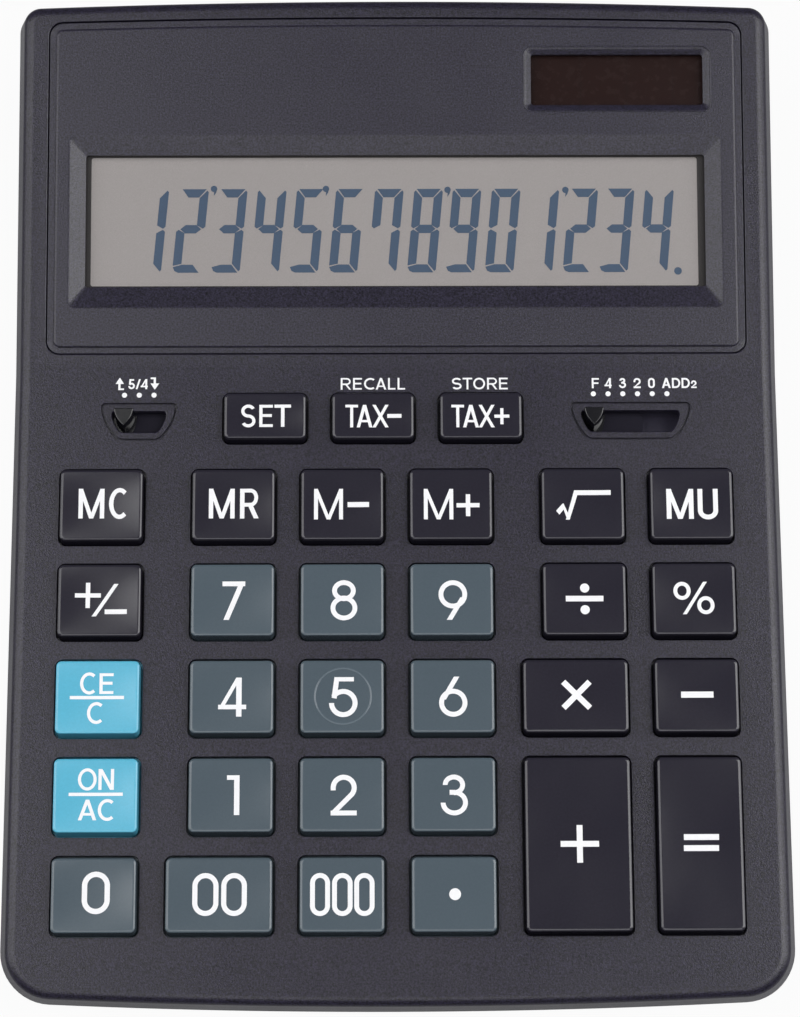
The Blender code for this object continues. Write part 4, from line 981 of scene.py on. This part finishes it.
def make_touch_ring():
    """Fine raised ring round the figure on the 5 key, felt by touch, coloured lighter than the key as a
    painted highlight.
    """
    x, s, opening = next(key[1:4] for key in key_layout() if key[0] == "key_5")
    rings = []
    for i in range(TOUCH_SIDES):
        a, ring = 2 * pi * i / TOUCH_SIDES, []
        for aside, rise in TOUCH_PROFILE:
            px = TOUCH_MIDDLE[0] + (TOUCH_RING + aside) * cos(a)
            ps = TOUCH_MIDDLE[1] + (TOUCH_RING + aside) * sin(a)
            ring.append((px, ps, face_height(opening, px, ps) + rise))
        rings.append(ring)
    bm = bmesh.new()
    skin(bm, rings, closed=True)
    piece("key_5_touch_ring", bm, key_spot(x, s), TOUCH_RING_HIGHLIGHT, "key_5").modifiers.clear()


def make_deck_print():
    dots = [("dot", x - DOT_RADIUS, x + DOT_RADIUS, s - DOT_RADIUS, s + DOT_RADIUS, DOT_STROKE)
            for x, s in DECK_DOTS]
    bm = bmesh.new()
    for row in glyph_rows(DECK_WORDS) + dots:
        add_glyph(bm, row, lambda x, s: 0.0, 0)
    piece("deck_print", bm, DECK, PRINT, "case")


# Display digits

DIGIT_WIDTH = 5.85
DIGIT_HEIGHT = 17.36
DIGIT_STROKE = 1.74
DIGIT_LEAN = 0.093
DIGIT_FOOT = 20.38
DIGIT_PLACES = (-53.68, -45.56, -37.66, -29.67, -21.72, -13.71, -5.75, 2.28, 10.13, 18.14, 26.05,
                34.01, 41.45, 49.51)
DIGIT_TEXT = "12345678901234"
LIT = {"0": "abcdef", "1": "bc", "2": "abged", "3": "abgcd", "4": "fgbc", "5": "afgcd",
       "6": "afgedc", "7": "fabc", "8": "abcdefg", "9": "abcdfg"}
COMMAS = ((-37.07, 37.80), (-14.20, 37.77), (10.65, 37.53), (34.75, 37.49))
COMMA_RADIUS = 0.66
COMMA_TAIL = ((0.60, -0.05), (0.45, -0.75), (-0.05, -1.50), (0.02, -0.55))
POINT = (57.57, 20.60)
POINT_RADIUS = 0.78
SEGMENT_LOW = PANEL_TOP - PRINT_SINK
SEGMENT_HIGH = PANEL_TOP + 0.00004


def segment_shapes():
    """The seven segments of one upright digit, in millimetres from its lower left corner."""
    w, h, t = DIGIT_WIDTH, DIGIT_HEIGHT, DIGIT_STROKE
    m = 0.52 * h
    upper = [(0.30, h - 0.28), (t, h - t - 0.14), (t, m + 0.80), (0.47, m + 0.11), (0.0, m + 0.52),
             (0.0, h - 0.62)]
    lower = [(0.47, m - 0.11), (0.0, m - 0.52), (0.0, 0.62), (0.30, 0.28), (t, t + 0.14), (t, m - 0.80)]
    flip = lambda points: [(w - x, y) for x, y in points]
    return {
        "a": [(0.46, h), (t + 0.10, h - t), (w - t - 0.10, h - t), (w - 0.46, h)],
        "b": flip(upper), "c": flip(lower), "f": upper,
        "g": [(0.80, m), (t + 0.08, m + 0.87), (w - t - 0.08, m + 0.87), (w - 0.80, m),
              (w - t - 0.08, m - 0.87), (t + 0.08, m - 0.87)],
        "e": [(0.47, m - 0.11), (0.0, m - 0.52), (0.0, 1.44), (t, 1.84), (t, m - 0.80)],
        "d": [(0.04, 1.16), (t + 0.10, t - 0.08), (w - t - 0.08, t - 0.08), (w - 0.46, 0.0), (1.2, 0.0),
              (0.45, 0.35)]}


def add_flat(bm, points):
    add_prism(bm, [(x * MM, s * MM) for x, s in points], SEGMENT_LOW, SEGMENT_HIGH)


def circle(x, s, r, steps=24):
    return [(x + r * cos(2 * pi * i / steps), s + r * sin(2 * pi * i / steps)) for i in range(steps)]


def make_digits():
    shapes = segment_shapes()
    bm = bmesh.new()
    for left, digit in zip(DIGIT_PLACES, DIGIT_TEXT):
        for segment in LIT[digit]:
            add_flat(bm, [(left + x + DIGIT_LEAN * y, DIGIT_FOOT + y) for x, y in shapes[segment]])
    for x, s in COMMAS:
        add_flat(bm, circle(x, s, COMMA_RADIUS))
        add_flat(bm, shifted(COMMA_TAIL, x, s))
    add_flat(bm, circle(*POINT, POINT_RADIUS))
    piece("display_segments", bm, DISPLAY, SEGMENT, "case")


# Switches


def side_curve(half, back, depth, taper, first=0.0, last=1.0, steps=14):
    """Left side of a slot or bezel, which curves in towards the front."""
    shares = [first + (last - first) * i / steps for i in range(steps + 1)]
    return [(taper * t * t - half, back - depth * t) for t in shares]


def corner_curve(start, corner, end, steps=6):
    """Points of a rounded corner, both ends left out."""
    points = []
    for i in range(1, steps):
        t = i / steps
        pulls = ((1 - t) ** 2, 2 * t * (1 - t), t ** 2)
        points.append(tuple(sum(p * q[axis] for p, q in zip(pulls, (start, corner, end)))
                            for axis in (0, 1)))
    return points


def shield_outline(half, back, depth, taper, back_round, front_round):
    """Slot or bezel outline, counter-clockwise, with rounded corners."""
    side = side_curve(half, back, depth, taper, back_round / depth, 1 - front_round / depth)
    back_start = (back_round - half, back)
    front_end = (taper - half + front_round, back - depth)
    left = [back_start] + corner_curve(back_start, (-half, back), side[0]) + side
    left += corner_curve(side[-1], (taper - half, back - depth), front_end) + [front_end]
    return left + [(-x, s) for x, s in reversed(left)]


def slot_outline(travel, margin):
    return shield_outline(travel / 2 + SLOT_END_ROOM + margin, SWITCH_BACK + margin,
                          SLOT_DEPTH + 2 * margin, SLOT_TAPER, *SLOT_ROUNDS)


def bezel_outline(travel, margin):
    return shield_outline(travel / 2 + SLOT_END_ROOM + BEZEL_SIDE + margin,
                          SWITCH_BACK + BEZEL_MARGIN + margin,
                          SLOT_DEPTH + 2 * BEZEL_MARGIN + 2 * margin, BEZEL_TAPER, *BEZEL_ROUNDS)


def knob_outline(width, depth, back, steps=12):
    """Shield from the middle of its back edge round to a tip at the front and back."""
    shares = [i / steps for i in range(steps + 1)]
    left = [(-width / 2 * (1 - t * t), back - depth * t) for t in shares]
    return [(0.0, back)] + left + [(-x, s) for x, s in reversed(left[:-1])]


def grip_ring(inset, n, back, deeper=0.0):
    width, depth = GRIP_WIDTH - 2 * inset, GRIP_DEPTH + deeper - 2 * inset
    return flat_ring(knob_outline(width, depth, back - inset), n)


def make_switches():
    reach = SLOT_DEPTH / 2 + SLIDER_LAP
    half = (SLIDER_REACH + SLIDER_LEFT) / 2
    back = SWITCH_BACK - KNOB_SETBACK
    for name, centre, travel in SWITCHES:
        start = DECK @ Matrix.Translation((centre - travel / 2, 0.0, 0.0))
        slider, grip, cuts = bmesh.new(), bmesh.new(), []
        plate = shifted(rectangle(half, reach, reach * SLIDER_ROUND), half - SLIDER_LEFT, SWITCH_MIDDLE)
        add_prism(slider, plate, FLANGE_TOP - SLIDER, FLANGE_TOP)
        add_block(add_cut(cuts, start, "UNION"), 0.0, SWITCH_MIDDLE, WIPER / 2, WIPER / 2,
                  BOARD_TOP + GAP, FLANGE_TOP - SLIDER / 2)
        rings = [grip_ring(-GRIP_COLLAR * share, n, back - GRIP_COLLAR * share,
                           GRIP_COLLAR_DEPTH * deeper) for share, n, deeper in GRIP_STEM]
        rings += [grip_ring(inset, KNOB_PROUD + drop, back + GRIP_LEAN, GRIP_DEEPER)
                  for inset, drop in rounding(GRIP_EDGE, GRIP_EDGE, 5)]
        add_loft(grip, rings, len(rings[0]) // 2)
        piece(f"{name}_slider", slider, start, SLIDER_LOOK, name, cuts=cuts)
        piece(f"{name}_grip", grip, start, KNOB, name, name)


def make_contact_film():
    """Black film on the board under both switch slots, which their wipers slide over."""
    bm = bmesh.new()
    for _, centre, travel in SWITCHES:
        add_block(bm, centre, SWITCH_MIDDLE, travel / 2 + FILM_REACH, FILM_HALF,
                  BOARD_TOP - PRINT_SINK, BOARD_TOP + FILM_PROUD)
    piece("switch_contact_film", bm, DECK, FILM, "case")


# Covers and fascia


def post_spots():
    """Place and level of each case screw: x, y, z and whether its post hangs from the shelf."""
    spots = []
    for x, s in SCREW_PLACES:
        for side in (-x, x):
            point = place(side, s, 0.0)
            spots.append((side, point.y, point.z, s > 0))
    return spots


def add_posts(bm, low, high, radius, sides=ROUND_SIDES):
    """The same upright cylinder at every case screw."""
    for x, y, _, _ in post_spots():
        add_cylinder(bm, x, y, low, high, radius, sides)


def foot_spots():
    return [(sign * FOOT_X, place(0.0, s, 0.0).y) for s in (FOOT_FRONT, FOOT_BACK) for sign in (-1, 1)]


def framed(half, front, back, corner, margin=0.0, middle=0.0, back_bow=0.0):
    """Rounded outline between front and back, grown by the margin."""
    points = outline(half + margin, front - margin, back + margin, corner, corner, back_bow=back_bow)
    return shifted(points, middle)


def view_outline(margin, corner=VIEW_CORNER):
    return framed(VIEW_HALF, VIEW_FRONT, VIEW_BACK, corner, margin)


def solar_outline(margin, corner):
    return framed((SOLAR_RIGHT - SOLAR_LEFT) / 2, SOLAR_FRONT, SOLAR_BACK, corner, margin,
                  (SOLAR_LEFT + SOLAR_RIGHT) / 2)


def fascia_outline(margin):
    return framed(FASCIA_HALF + FASCIA_SLACK, FASCIA_FRONT, FASCIA_BACK, FASCIA_CORNER + margin,
                  margin, FASCIA_SHIFT, FASCIA_BOW)


def window_pockets():
    """Outlines of the pockets that hold the two windows."""
    return view_outline(WINDOW_LAP), solar_outline(SOLAR_LAP - SOLAR_BEVEL, SOLAR_CORNER)


def lipped(bm, shape, low, radius=LIP_ROUND, steps=4):
    """Cutter with a mouth that opens in a quarter round; shape gives the outline at a margin."""
    add_loft(bm, stacked(shape, [(0.0, low)] + rounding(radius, radius, steps) + [(radius, OVERRUN)]))


def key_opening(x, s, opening):
    half_x, half_s = opening[0] / 2, opening[1] / 2
    return lambda margin: shifted(rectangle(half_x + margin, half_s + margin,
                                            KEY_CORNER + KEY_GAP + margin), x, s)


def switch_opening(centre, travel):
    return lambda margin: shifted(slot_outline(travel, margin), centre)


def make_top_cover():
    bm, cuts = bmesh.new(), []
    rings = [case_ring(SKIRT_ROUND, -SKIRT_DEPTH), case_ring(0.0, SKIRT_ROUND - SKIRT_DEPTH)]
    rings += [case_ring(inset, drop) for inset, drop in rounding(EDGE_REACH, EDGE_ROUND)]
    add_loft(bm, rings, FOLD_INDEX)
    add_loft(add_cut(cuts), [case_ring(WALL, -SKIRT_DEPTH - OVERRUN), case_ring(WALL, -WALL)],
             FOLD_INDEX)

    inset = (SIDE_FLARE + END_FLARE) / 2 + SHELF_INSET
    shelf = outline(CASE_WIDTH / 2 - SIDE_FLARE - SHELF_INSET, SHELF_FRONT,
                    DISPLAY_LENGTH - END_FLARE - SHELF_INSET, LEAST_CORNER,
                    max(BACK_CORNER - inset, LEAST_CORNER), back_bow=BACK_BOW)
    add_prism(add_cut(cuts, DISPLAY, "UNION"), shelf, SHELF_FOOT, SINK - WALL)

    posts = add_cut(cuts, WORLD, "UNION")
    for x, y, z, on_shelf in post_spots():
        depth = (SHELF_TOP - SHELF_FOOT) / 2 - SHELF_TOP if on_shelf else WALL - SINK
        add_cylinder(posts, x, y, BOSS_TOP + GAP, z - depth, POST_RADIUS, POST_SIDES)
    lipped(add_cut(cuts, DISPLAY), lambda margin: fascia_outline(GAP + 2 * margin), SHELF_TOP,
           FASCIA_LIP, 6)

    openings = add_cut(cuts, DECK)
    for _, x, s, opening, _ in key_layout():
        lipped(openings, key_opening(x, s, opening), -WALL - OVERRUN, KEY_LIP)
    for _, centre, travel in SWITCHES:
        lipped(openings, switch_opening(centre, travel), -WALL - OVERRUN)

    grooves = add_cut(cuts, DECK)
    for _, centre, travel in SWITCHES:
        outer, inner = (shifted(bezel_outline(travel, margin), centre)
                        for margin in (GROOVE / 2, -GROOVE / 2))
        add_band(grooves, outer, inner, -GROOVE_DEPTH, OVERRUN)

    windows = add_cut(cuts, DISPLAY)
    for points in window_pockets():
        add_prism(windows, points, SHELF_FOOT - OVERRUN, SHELF_TOP + OVERRUN)
    add_posts(add_cut(cuts), BOSS_TOP - OVERRUN, SHOULDER + SCREW_LENGTH + GAP, SCREW_HOLE, POST_SIDES)
    piece("top_cover_shell", bm, WORLD, CHARCOAL, "case", "top_cover", cuts=cuts)


def make_fascia():
    bm, cuts, turn = bmesh.new(), [], MOUTH_ROUND
    profile = [(FASCIA_GROW, -FASCIA)]
    profile += [(FASCIA_GROW - inset, drop - FASCIA_RIM_DROP)
                for inset, drop in rounding(RIM_ROUND, RIM_ROUND, 4)]
    profile.append((-FASCIA_RIM, -FASCIA_RIM_DROP))
    profile += [(-FASCIA_RIM - inset, drop)
                for inset, drop in rounding(2 * FASCIA_RIM_DROP, FASCIA_RIM_DROP, 6)]
    add_loft(bm, stacked(fascia_outline, profile))

    openings = add_cut(cuts, DISPLAY)
    bevel = lambda margin: framed(BEVEL_HALF, BEVEL_FRONT, BEVEL_BACK, BEVEL_CORNER + margin, margin)
    rim = lambda margin: solar_outline(margin, SOLAR_CORNER + margin)
    for straight, foot, shape, shares in (
            (view_outline(0.0), -BEVEL_DEPTH, bevel, ((-1.0, 0.34), (-0.4, 0.16), (0.2, 0.05))),
            (solar_outline(-SOLAR_BEVEL, VIEW_CORNER), -SOLAR_STEP, rim, ((-1.0, 0.5), (0.0, 0.15)))):
        mouth = [(turn * aside, -turn * down) for aside, down in shares]
        add_loft(openings, [flat_ring(straight, -FASCIA - OVERRUN), flat_ring(straight, foot)]
                 + stacked(shape, mouth + [(turn, 0.0), (turn, OVERRUN)]))

    pockets = add_cut(cuts, DISPLAY)
    for points, ceiling in zip(window_pockets(), (WINDOW_CEILING, SOLAR_CEILING)):
        add_prism(pockets, points, -FASCIA - OVERRUN, -ceiling)

    step = FASCIA_FRONT + FASCIA_RIM
    reach = FASCIA_HALF - FASCIA_RIM - STEP_GROOVE_END
    add_box(add_cut(cuts, DISPLAY), (-reach, step - STEP_GROOVE, -STEP_GROOVE_FOOT),
            (reach, step + PRINT_SINK, -STEP_GROOVE_TOP))
    bead = [(-BEAD * cos(a), BEAD * BEAD_FLAT * sin(a)) for a in quarter(4)]
    bead += [(-margin, height) for margin, height in reversed(bead[:-1])]
    bead += [(BEAD, -2 * BEAD), (-BEAD, -2 * BEAD)]
    skin(add_cut(cuts, DISPLAY, "UNION"), stacked(lambda margin: rim(turn + margin), bead),
         closed=True)
    piece("display_fascia_frame", bm, DISPLAY, FASCIA_LOOK, "case", "display_fascia", cuts=cuts)


def make_mask_and_painted_shade():
    """Black frame between the display's window and its panel: partly a printed border, partly painted
    shade for the shaded walls of the opening.
    """
    inner = framed((MASK_AND_SHADE_RIGHT - MASK_AND_SHADE_LEFT) / 2, MASK_AND_SHADE_FRONT, MASK_AND_SHADE_BACK, MASK_AND_SHADE_CORNER,
                   middle=(MASK_AND_SHADE_LEFT + MASK_AND_SHADE_RIGHT) / 2)
    bm = bmesh.new()
    add_band(bm, view_outline(MASK_AND_SHADE_LAP, MASK_AND_SHADE_CORNER), inner, PANEL_TOP - PRINT_SINK,
             PANEL_TOP + MASK_AND_SHADE_PROUD)
    piece("display_mask_and_painted_shade", bm, DISPLAY, MASK_AND_SHADE_LOOK, "case")


def make_bottom_cover():
    ceiling = FOOT_PROUD + LID + GAP + CELL_HEIGHT + CELL_HEADROOM
    lip_n = LIP_HEIGHT - SKIRT_DEPTH
    lip_inset = WALL + GAP + SIDE_FLARE * LIP_HEIGHT / SKIRT_DEPTH
    inside = lip_inset + LIP_WALL
    drawn, turn = PARTING_INSET + BOTTOM_DRAFT, BOTTOM_ROUND
    bm, cuts = bmesh.new(), []
    rings = [dropped(parting_ring(drawn + inset, -SKIRT_DEPTH), FOOT_PROUD + rise)
             for inset, rise in ((turn, 0.0), (turn * 0.3, turn * 0.3), (0.0, turn))]
    rings += [parting_ring(PARTING_INSET, -SKIRT_DEPTH - GAP),
              parting_ring(lip_inset, -SKIRT_DEPTH - GAP), parting_ring(lip_inset, lip_n)]
    add_loft(bm, rings, FOLD_INDEX)
    add_loft(add_cut(cuts), [dropped(parting_ring(inside, -SKIRT_DEPTH), FOOT_PROUD + FLOOR),
                             parting_ring(inside, lip_n + OVERRUN)], FOLD_INDEX)

    ribs = add_cut(cuts, DECK, "UNION")
    for s in ROWS[::2]:
        foot = (FLOOR_JOIN - FOLD_Z - s * sin(DECK_SLOPE)) / cos(DECK_SLOPE)
        add_block(ribs, 0.0, s, RIB_HALF, RIB_WALL / 2, foot, BOARD_FOOT - GAP)

    bosses = add_cut(cuts, WORLD, "UNION")
    add_posts(bosses, FLOOR_JOIN, BOSS_TOP, BOSS_RADIUS, SCREW_SIDES)
    add_block(bosses, BAY_X, BAY_Y, BAY_HALF_LENGTH + BAY_WALL, BAY_HALF_DEPTH + BAY_WALL,
              FLOOR_JOIN, ceiling + BAY_WALL)

    recesses = add_cut(cuts)
    add_posts(recesses, BELOW, SHOULDER + GAP, HEAD_HOLE)
    for x, y in foot_spots():
        add_cylinder(recesses, x, y, BELOW, FOOT_PROUD + FOOT_RECESS, FOOT_RADIUS + GAP)
    add_block(recesses, BAY_X, BAY_Y, BAY_HALF_LENGTH, BAY_HALF_DEPTH, BELOW, ceiling)
    add_cylinder(add_cut(cuts, WORLD, "UNION"), LID_SCREW_X, BAY_Y, FOOT_PROUD + LID + GAP,
                 ceiling + BAY_WALL / 2, POST_RADIUS, POST_SIDES)

    holes = add_cut(cuts)
    add_posts(holes, SHOULDER, BOSS_TOP + OVERRUN, SCREW_HOLE, POST_SIDES)
    add_cylinder(holes, LID_SCREW_X, BAY_Y, FOOT_PROUD + LID - OVERRUN,
                 LID_SHOULDER + SCREW_LENGTH + GAP, SCREW_HOLE, POST_SIDES)
    for node in ("battery_contact_positive", "battery_contact_negative"):
        low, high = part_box(node)
        left = high.x - CONTACT if node.endswith("negative") else low.x
        add_box(holes, (left - GAP, low.y - GAP, ceiling - OVERRUN / 2),
                (high.x + GAP, high.y + GAP, ceiling + BAY_WALL + OVERRUN))
    piece("bottom_cover_shell", bm, WORLD, CHARCOAL, "case", "bottom_cover", cuts=cuts)


# Small pieces underneath


def make_feet():
    for end, (x, y) in zip(("front_left", "front_right", "back_left", "back_right"), foot_spots()):
        bm = bmesh.new()
        add_turned(bm, x, y, rounded_profile(FOOT_RADIUS, 0.0, FOOT_PROUD + FOOT_RECESS - GAP,
                                             FOOT_ROUND))
        piece(f"foot_{end}_pad", bm, WORLD, RUBBER, "case", f"foot_{end}")


def make_screw(name, x, y, foot, head):
    """Cross-recess screw that stands on its head."""
    bm, cuts = bmesh.new(), []
    core, top = SCREW_RADIUS * THREAD_CORE, foot + head
    profile = rounded_profile(SCREW_HEAD_RADIUS, foot, top, head * HEAD_EDGE) + [(core, top)]
    pitch = (SCREW_LENGTH - THREAD_PLAIN) / THREAD_TURNS
    for i in range(THREAD_TURNS):
        z = top + THREAD_START + pitch * i
        profile += [(core, z), (SCREW_RADIUS, z + pitch / 2)]
    profile.append((SCREW_RADIUS * TIP_SHARE, top + SCREW_LENGTH))
    add_turned(bm, x, y, profile, SCREW_SIDES)
    reach = SCREW_HEAD_RADIUS * CROSS_REACH
    for half_x, half_y in ((reach, CROSS_ARM), (CROSS_ARM, reach)):
        add_block(add_cut(cuts), x, y, half_x, half_y, foot - OVERRUN, foot + head * CROSS_DEPTH)
    piece(f"{name}_turned", bm, WORLD, STEEL, "case", name, cuts=cuts)


def make_screws():
    labels = [f"case_screw_{row}_{side}" for row in ("front", "middle", "rear")
              for side in ("left", "right")]
    for name, (x, y, _, _) in zip(labels, post_spots()):
        make_screw(name, x, y, FOOT_PROUD + SCREW_SUNK, SCREW_HEAD)
    make_screw("battery_cover_screw", LID_SCREW_X, BAY_Y, FOOT_PROUD + LID_SCREW_SUNK, LID_SCREW_HEAD)


def make_battery_cover():
    bm, cuts = bmesh.new(), []
    shape = lambda inset: shifted(rectangle(BAY_HALF_LENGTH - GAP - inset, BAY_HALF_DEPTH - GAP - inset,
                                            LID_CORNER), BAY_X, BAY_Y)
    profile = [(LID_ROUND * (1 - sin(a)), FOOT_PROUD + LID_ROUND * (1 - cos(a))) for a in quarter(4)]
    add_loft(bm, stacked(shape, profile + [(0.0, FOOT_PROUD + LID)]))
    add_cylinder(add_cut(cuts), LID_SCREW_X, BAY_Y, BELOW, LID_SHOULDER + GAP, HEAD_HOLE)
    add_cylinder(add_cut(cuts), LID_SCREW_X, BAY_Y, FOOT_PROUD, FOOT_PROUD + LID + OVERRUN, SCREW_HOLE)
    ridges = add_cut(cuts)
    for i in range(RIDGES):
        left = BAY_X - RIDGES_LEFT + RIDGE_PITCH * i
        add_box(ridges, (left, BAY_Y - RIDGE_HALF, BELOW),
                (left + RIDGE_WIDTH, BAY_Y + RIDGE_HALF, FOOT_PROUD + RIDGE_DEPTH))
    piece("battery_cover_lid", bm, WORLD, CHARCOAL, "case", "battery_cover", cuts=cuts)


# Stage, light and camera


def backdrop_material():
    """Pale floor that the camera sees as a white sweep, and reflections mostly as lit."""
    made, tree, shader = tree_of("studio_sweep")
    feed(tree, shader, {
        "Base Color": tint(tree, noise(tree, 0.4), (0.41, 0.41, 0.42), (0.43, 0.43, 0.44)),
        "Roughness": 0.9, "Specular IOR Level": 0.0})
    rays = tree.nodes.new("ShaderNodeLightPath").outputs
    shares = {"Is Camera Ray": 0.95, "Is Glossy Ray": 0.12, "Is Transmission Ray": 0.12}
    seen, *others = [add_node(tree, "Math", {0: rays[ray], 1: share}, operation="MULTIPLY")
                     for ray, share in shares.items()]
    for other in others:
        seen = add_node(tree, "Math", {0: seen, 1: other}, operation="MAXIMUM")
    glow = add_node(tree, "Emission", {"Strength": 1.0})
    mixed = add_node(tree, "MixShader", {"Fac": seen, 1: shader.outputs["BSDF"], 2: glow})
    tree.links.new(mixed, tree.nodes["Material Output"].inputs["Surface"])
    return made


FLOOR_DROP = 0.0002


def make_floor():
    bm = bmesh.new()
    bmesh.ops.create_grid(bm, x_segments=1, y_segments=1, size=3.0)
    floor = new_object("studio_floor", bm, Matrix.Translation((0.0, 0.0, -FLOOR_DROP)))
    floor.data.materials.append(backdrop_material())


# Name, degrees from upright towards the right, breadth over that arc, depth and watts
LAMPS = (("right_softbox", 33, 0.76, 0.80, 8.8), ("left_softbox", -26, 0.72, 0.80, 5.4),
         ("right_strip", 65, 0.58, 0.90, 3.9), ("left_strip", -59, 0.66, 0.90, 4.4))
LAMP_REACH = 1.3
LAMP_AIM = Vector((0.0, 0.0, 0.015))


def area_light(name, spot, size, power):
    """Rectangular lamp that faces the object."""
    lamp = bpy.data.lights.new(name, "AREA")
    lamp.shape = "RECTANGLE"
    lamp.size, lamp.size_y = size
    lamp.energy = power
    thing = linked(name, lamp)
    thing.location = spot
    thing.rotation_euler = (LAMP_AIM - Vector(spot)).to_track_quat("-Z", "Y").to_euler()


def make_lights():
    world = bpy.data.worlds.new("studio")
    bpy.context.scene.world = world
    world.use_nodes = True
    tree = world.node_tree
    seen = add_node(tree, "LightPath", {}, "Is Camera Ray")
    feed(tree, tree.nodes["Background"], {"Color": (0.98, 0.98, 1.0, 1.0),
                                          "Strength": spread(tree, seen, 0.12, 0.98, 0.0, 1.0)})
    for name, turn, breadth, depth, power in LAMPS:
        spot = Matrix.Rotation(radians(turn), 3, "Y") @ Vector((0.0, 0.05, LAMP_REACH))
        area_light(name, spot, (depth, breadth), power)
    area_light("front_softbox", (0.0, -0.62, 1.15), (0.9, 0.36), 2.6)


def make_camera():
    turn_z, turn_x, turn_y = CAMERA_TURNS
    turned = (Matrix.Rotation(turn_z, 3, "Z") @ Matrix.Rotation(turn_x, 3, "X")
              @ Matrix.Rotation(turn_y, 3, "Y"))
    tilt = Matrix.Rotation(DECK_SLOPE, 3, "X")
    spot = Vector((0.0, FOLD_Y, FOLD_Z)) + tilt @ (CAMERA_AIM - turned.transposed() @ CAMERA_SHIFT)
    data = bpy.data.cameras.new("photo_camera")
    data.lens = LENS
    data.clip_start = 0.01
    camera = linked("photo_camera", data)
    camera.matrix_world = Matrix.Translation(spot) @ (tilt @ turned.transposed()).to_4x4()
    bpy.context.scene.camera = camera


def dress_nodes():
    for node, look in NODE_LOOKS.items():
        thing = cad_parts[node]
        thing.data.materials.clear()
        thing.data.materials.append(look)


def main():
    bpy.context.scene.view_settings.view_transform = "Standard"
    make_camera()
    make_lights()
    make_floor()
    dress_nodes()
    make_top_cover()
    make_fascia()
    make_bottom_cover()
    make_keys()
    make_legends()
    make_deck_print()
    make_digits()
    make_touch_ring()
    make_mask_and_painted_shade()
    make_switches()
    make_contact_film()
    make_feet()
    make_screws()
    make_battery_cover()


main()
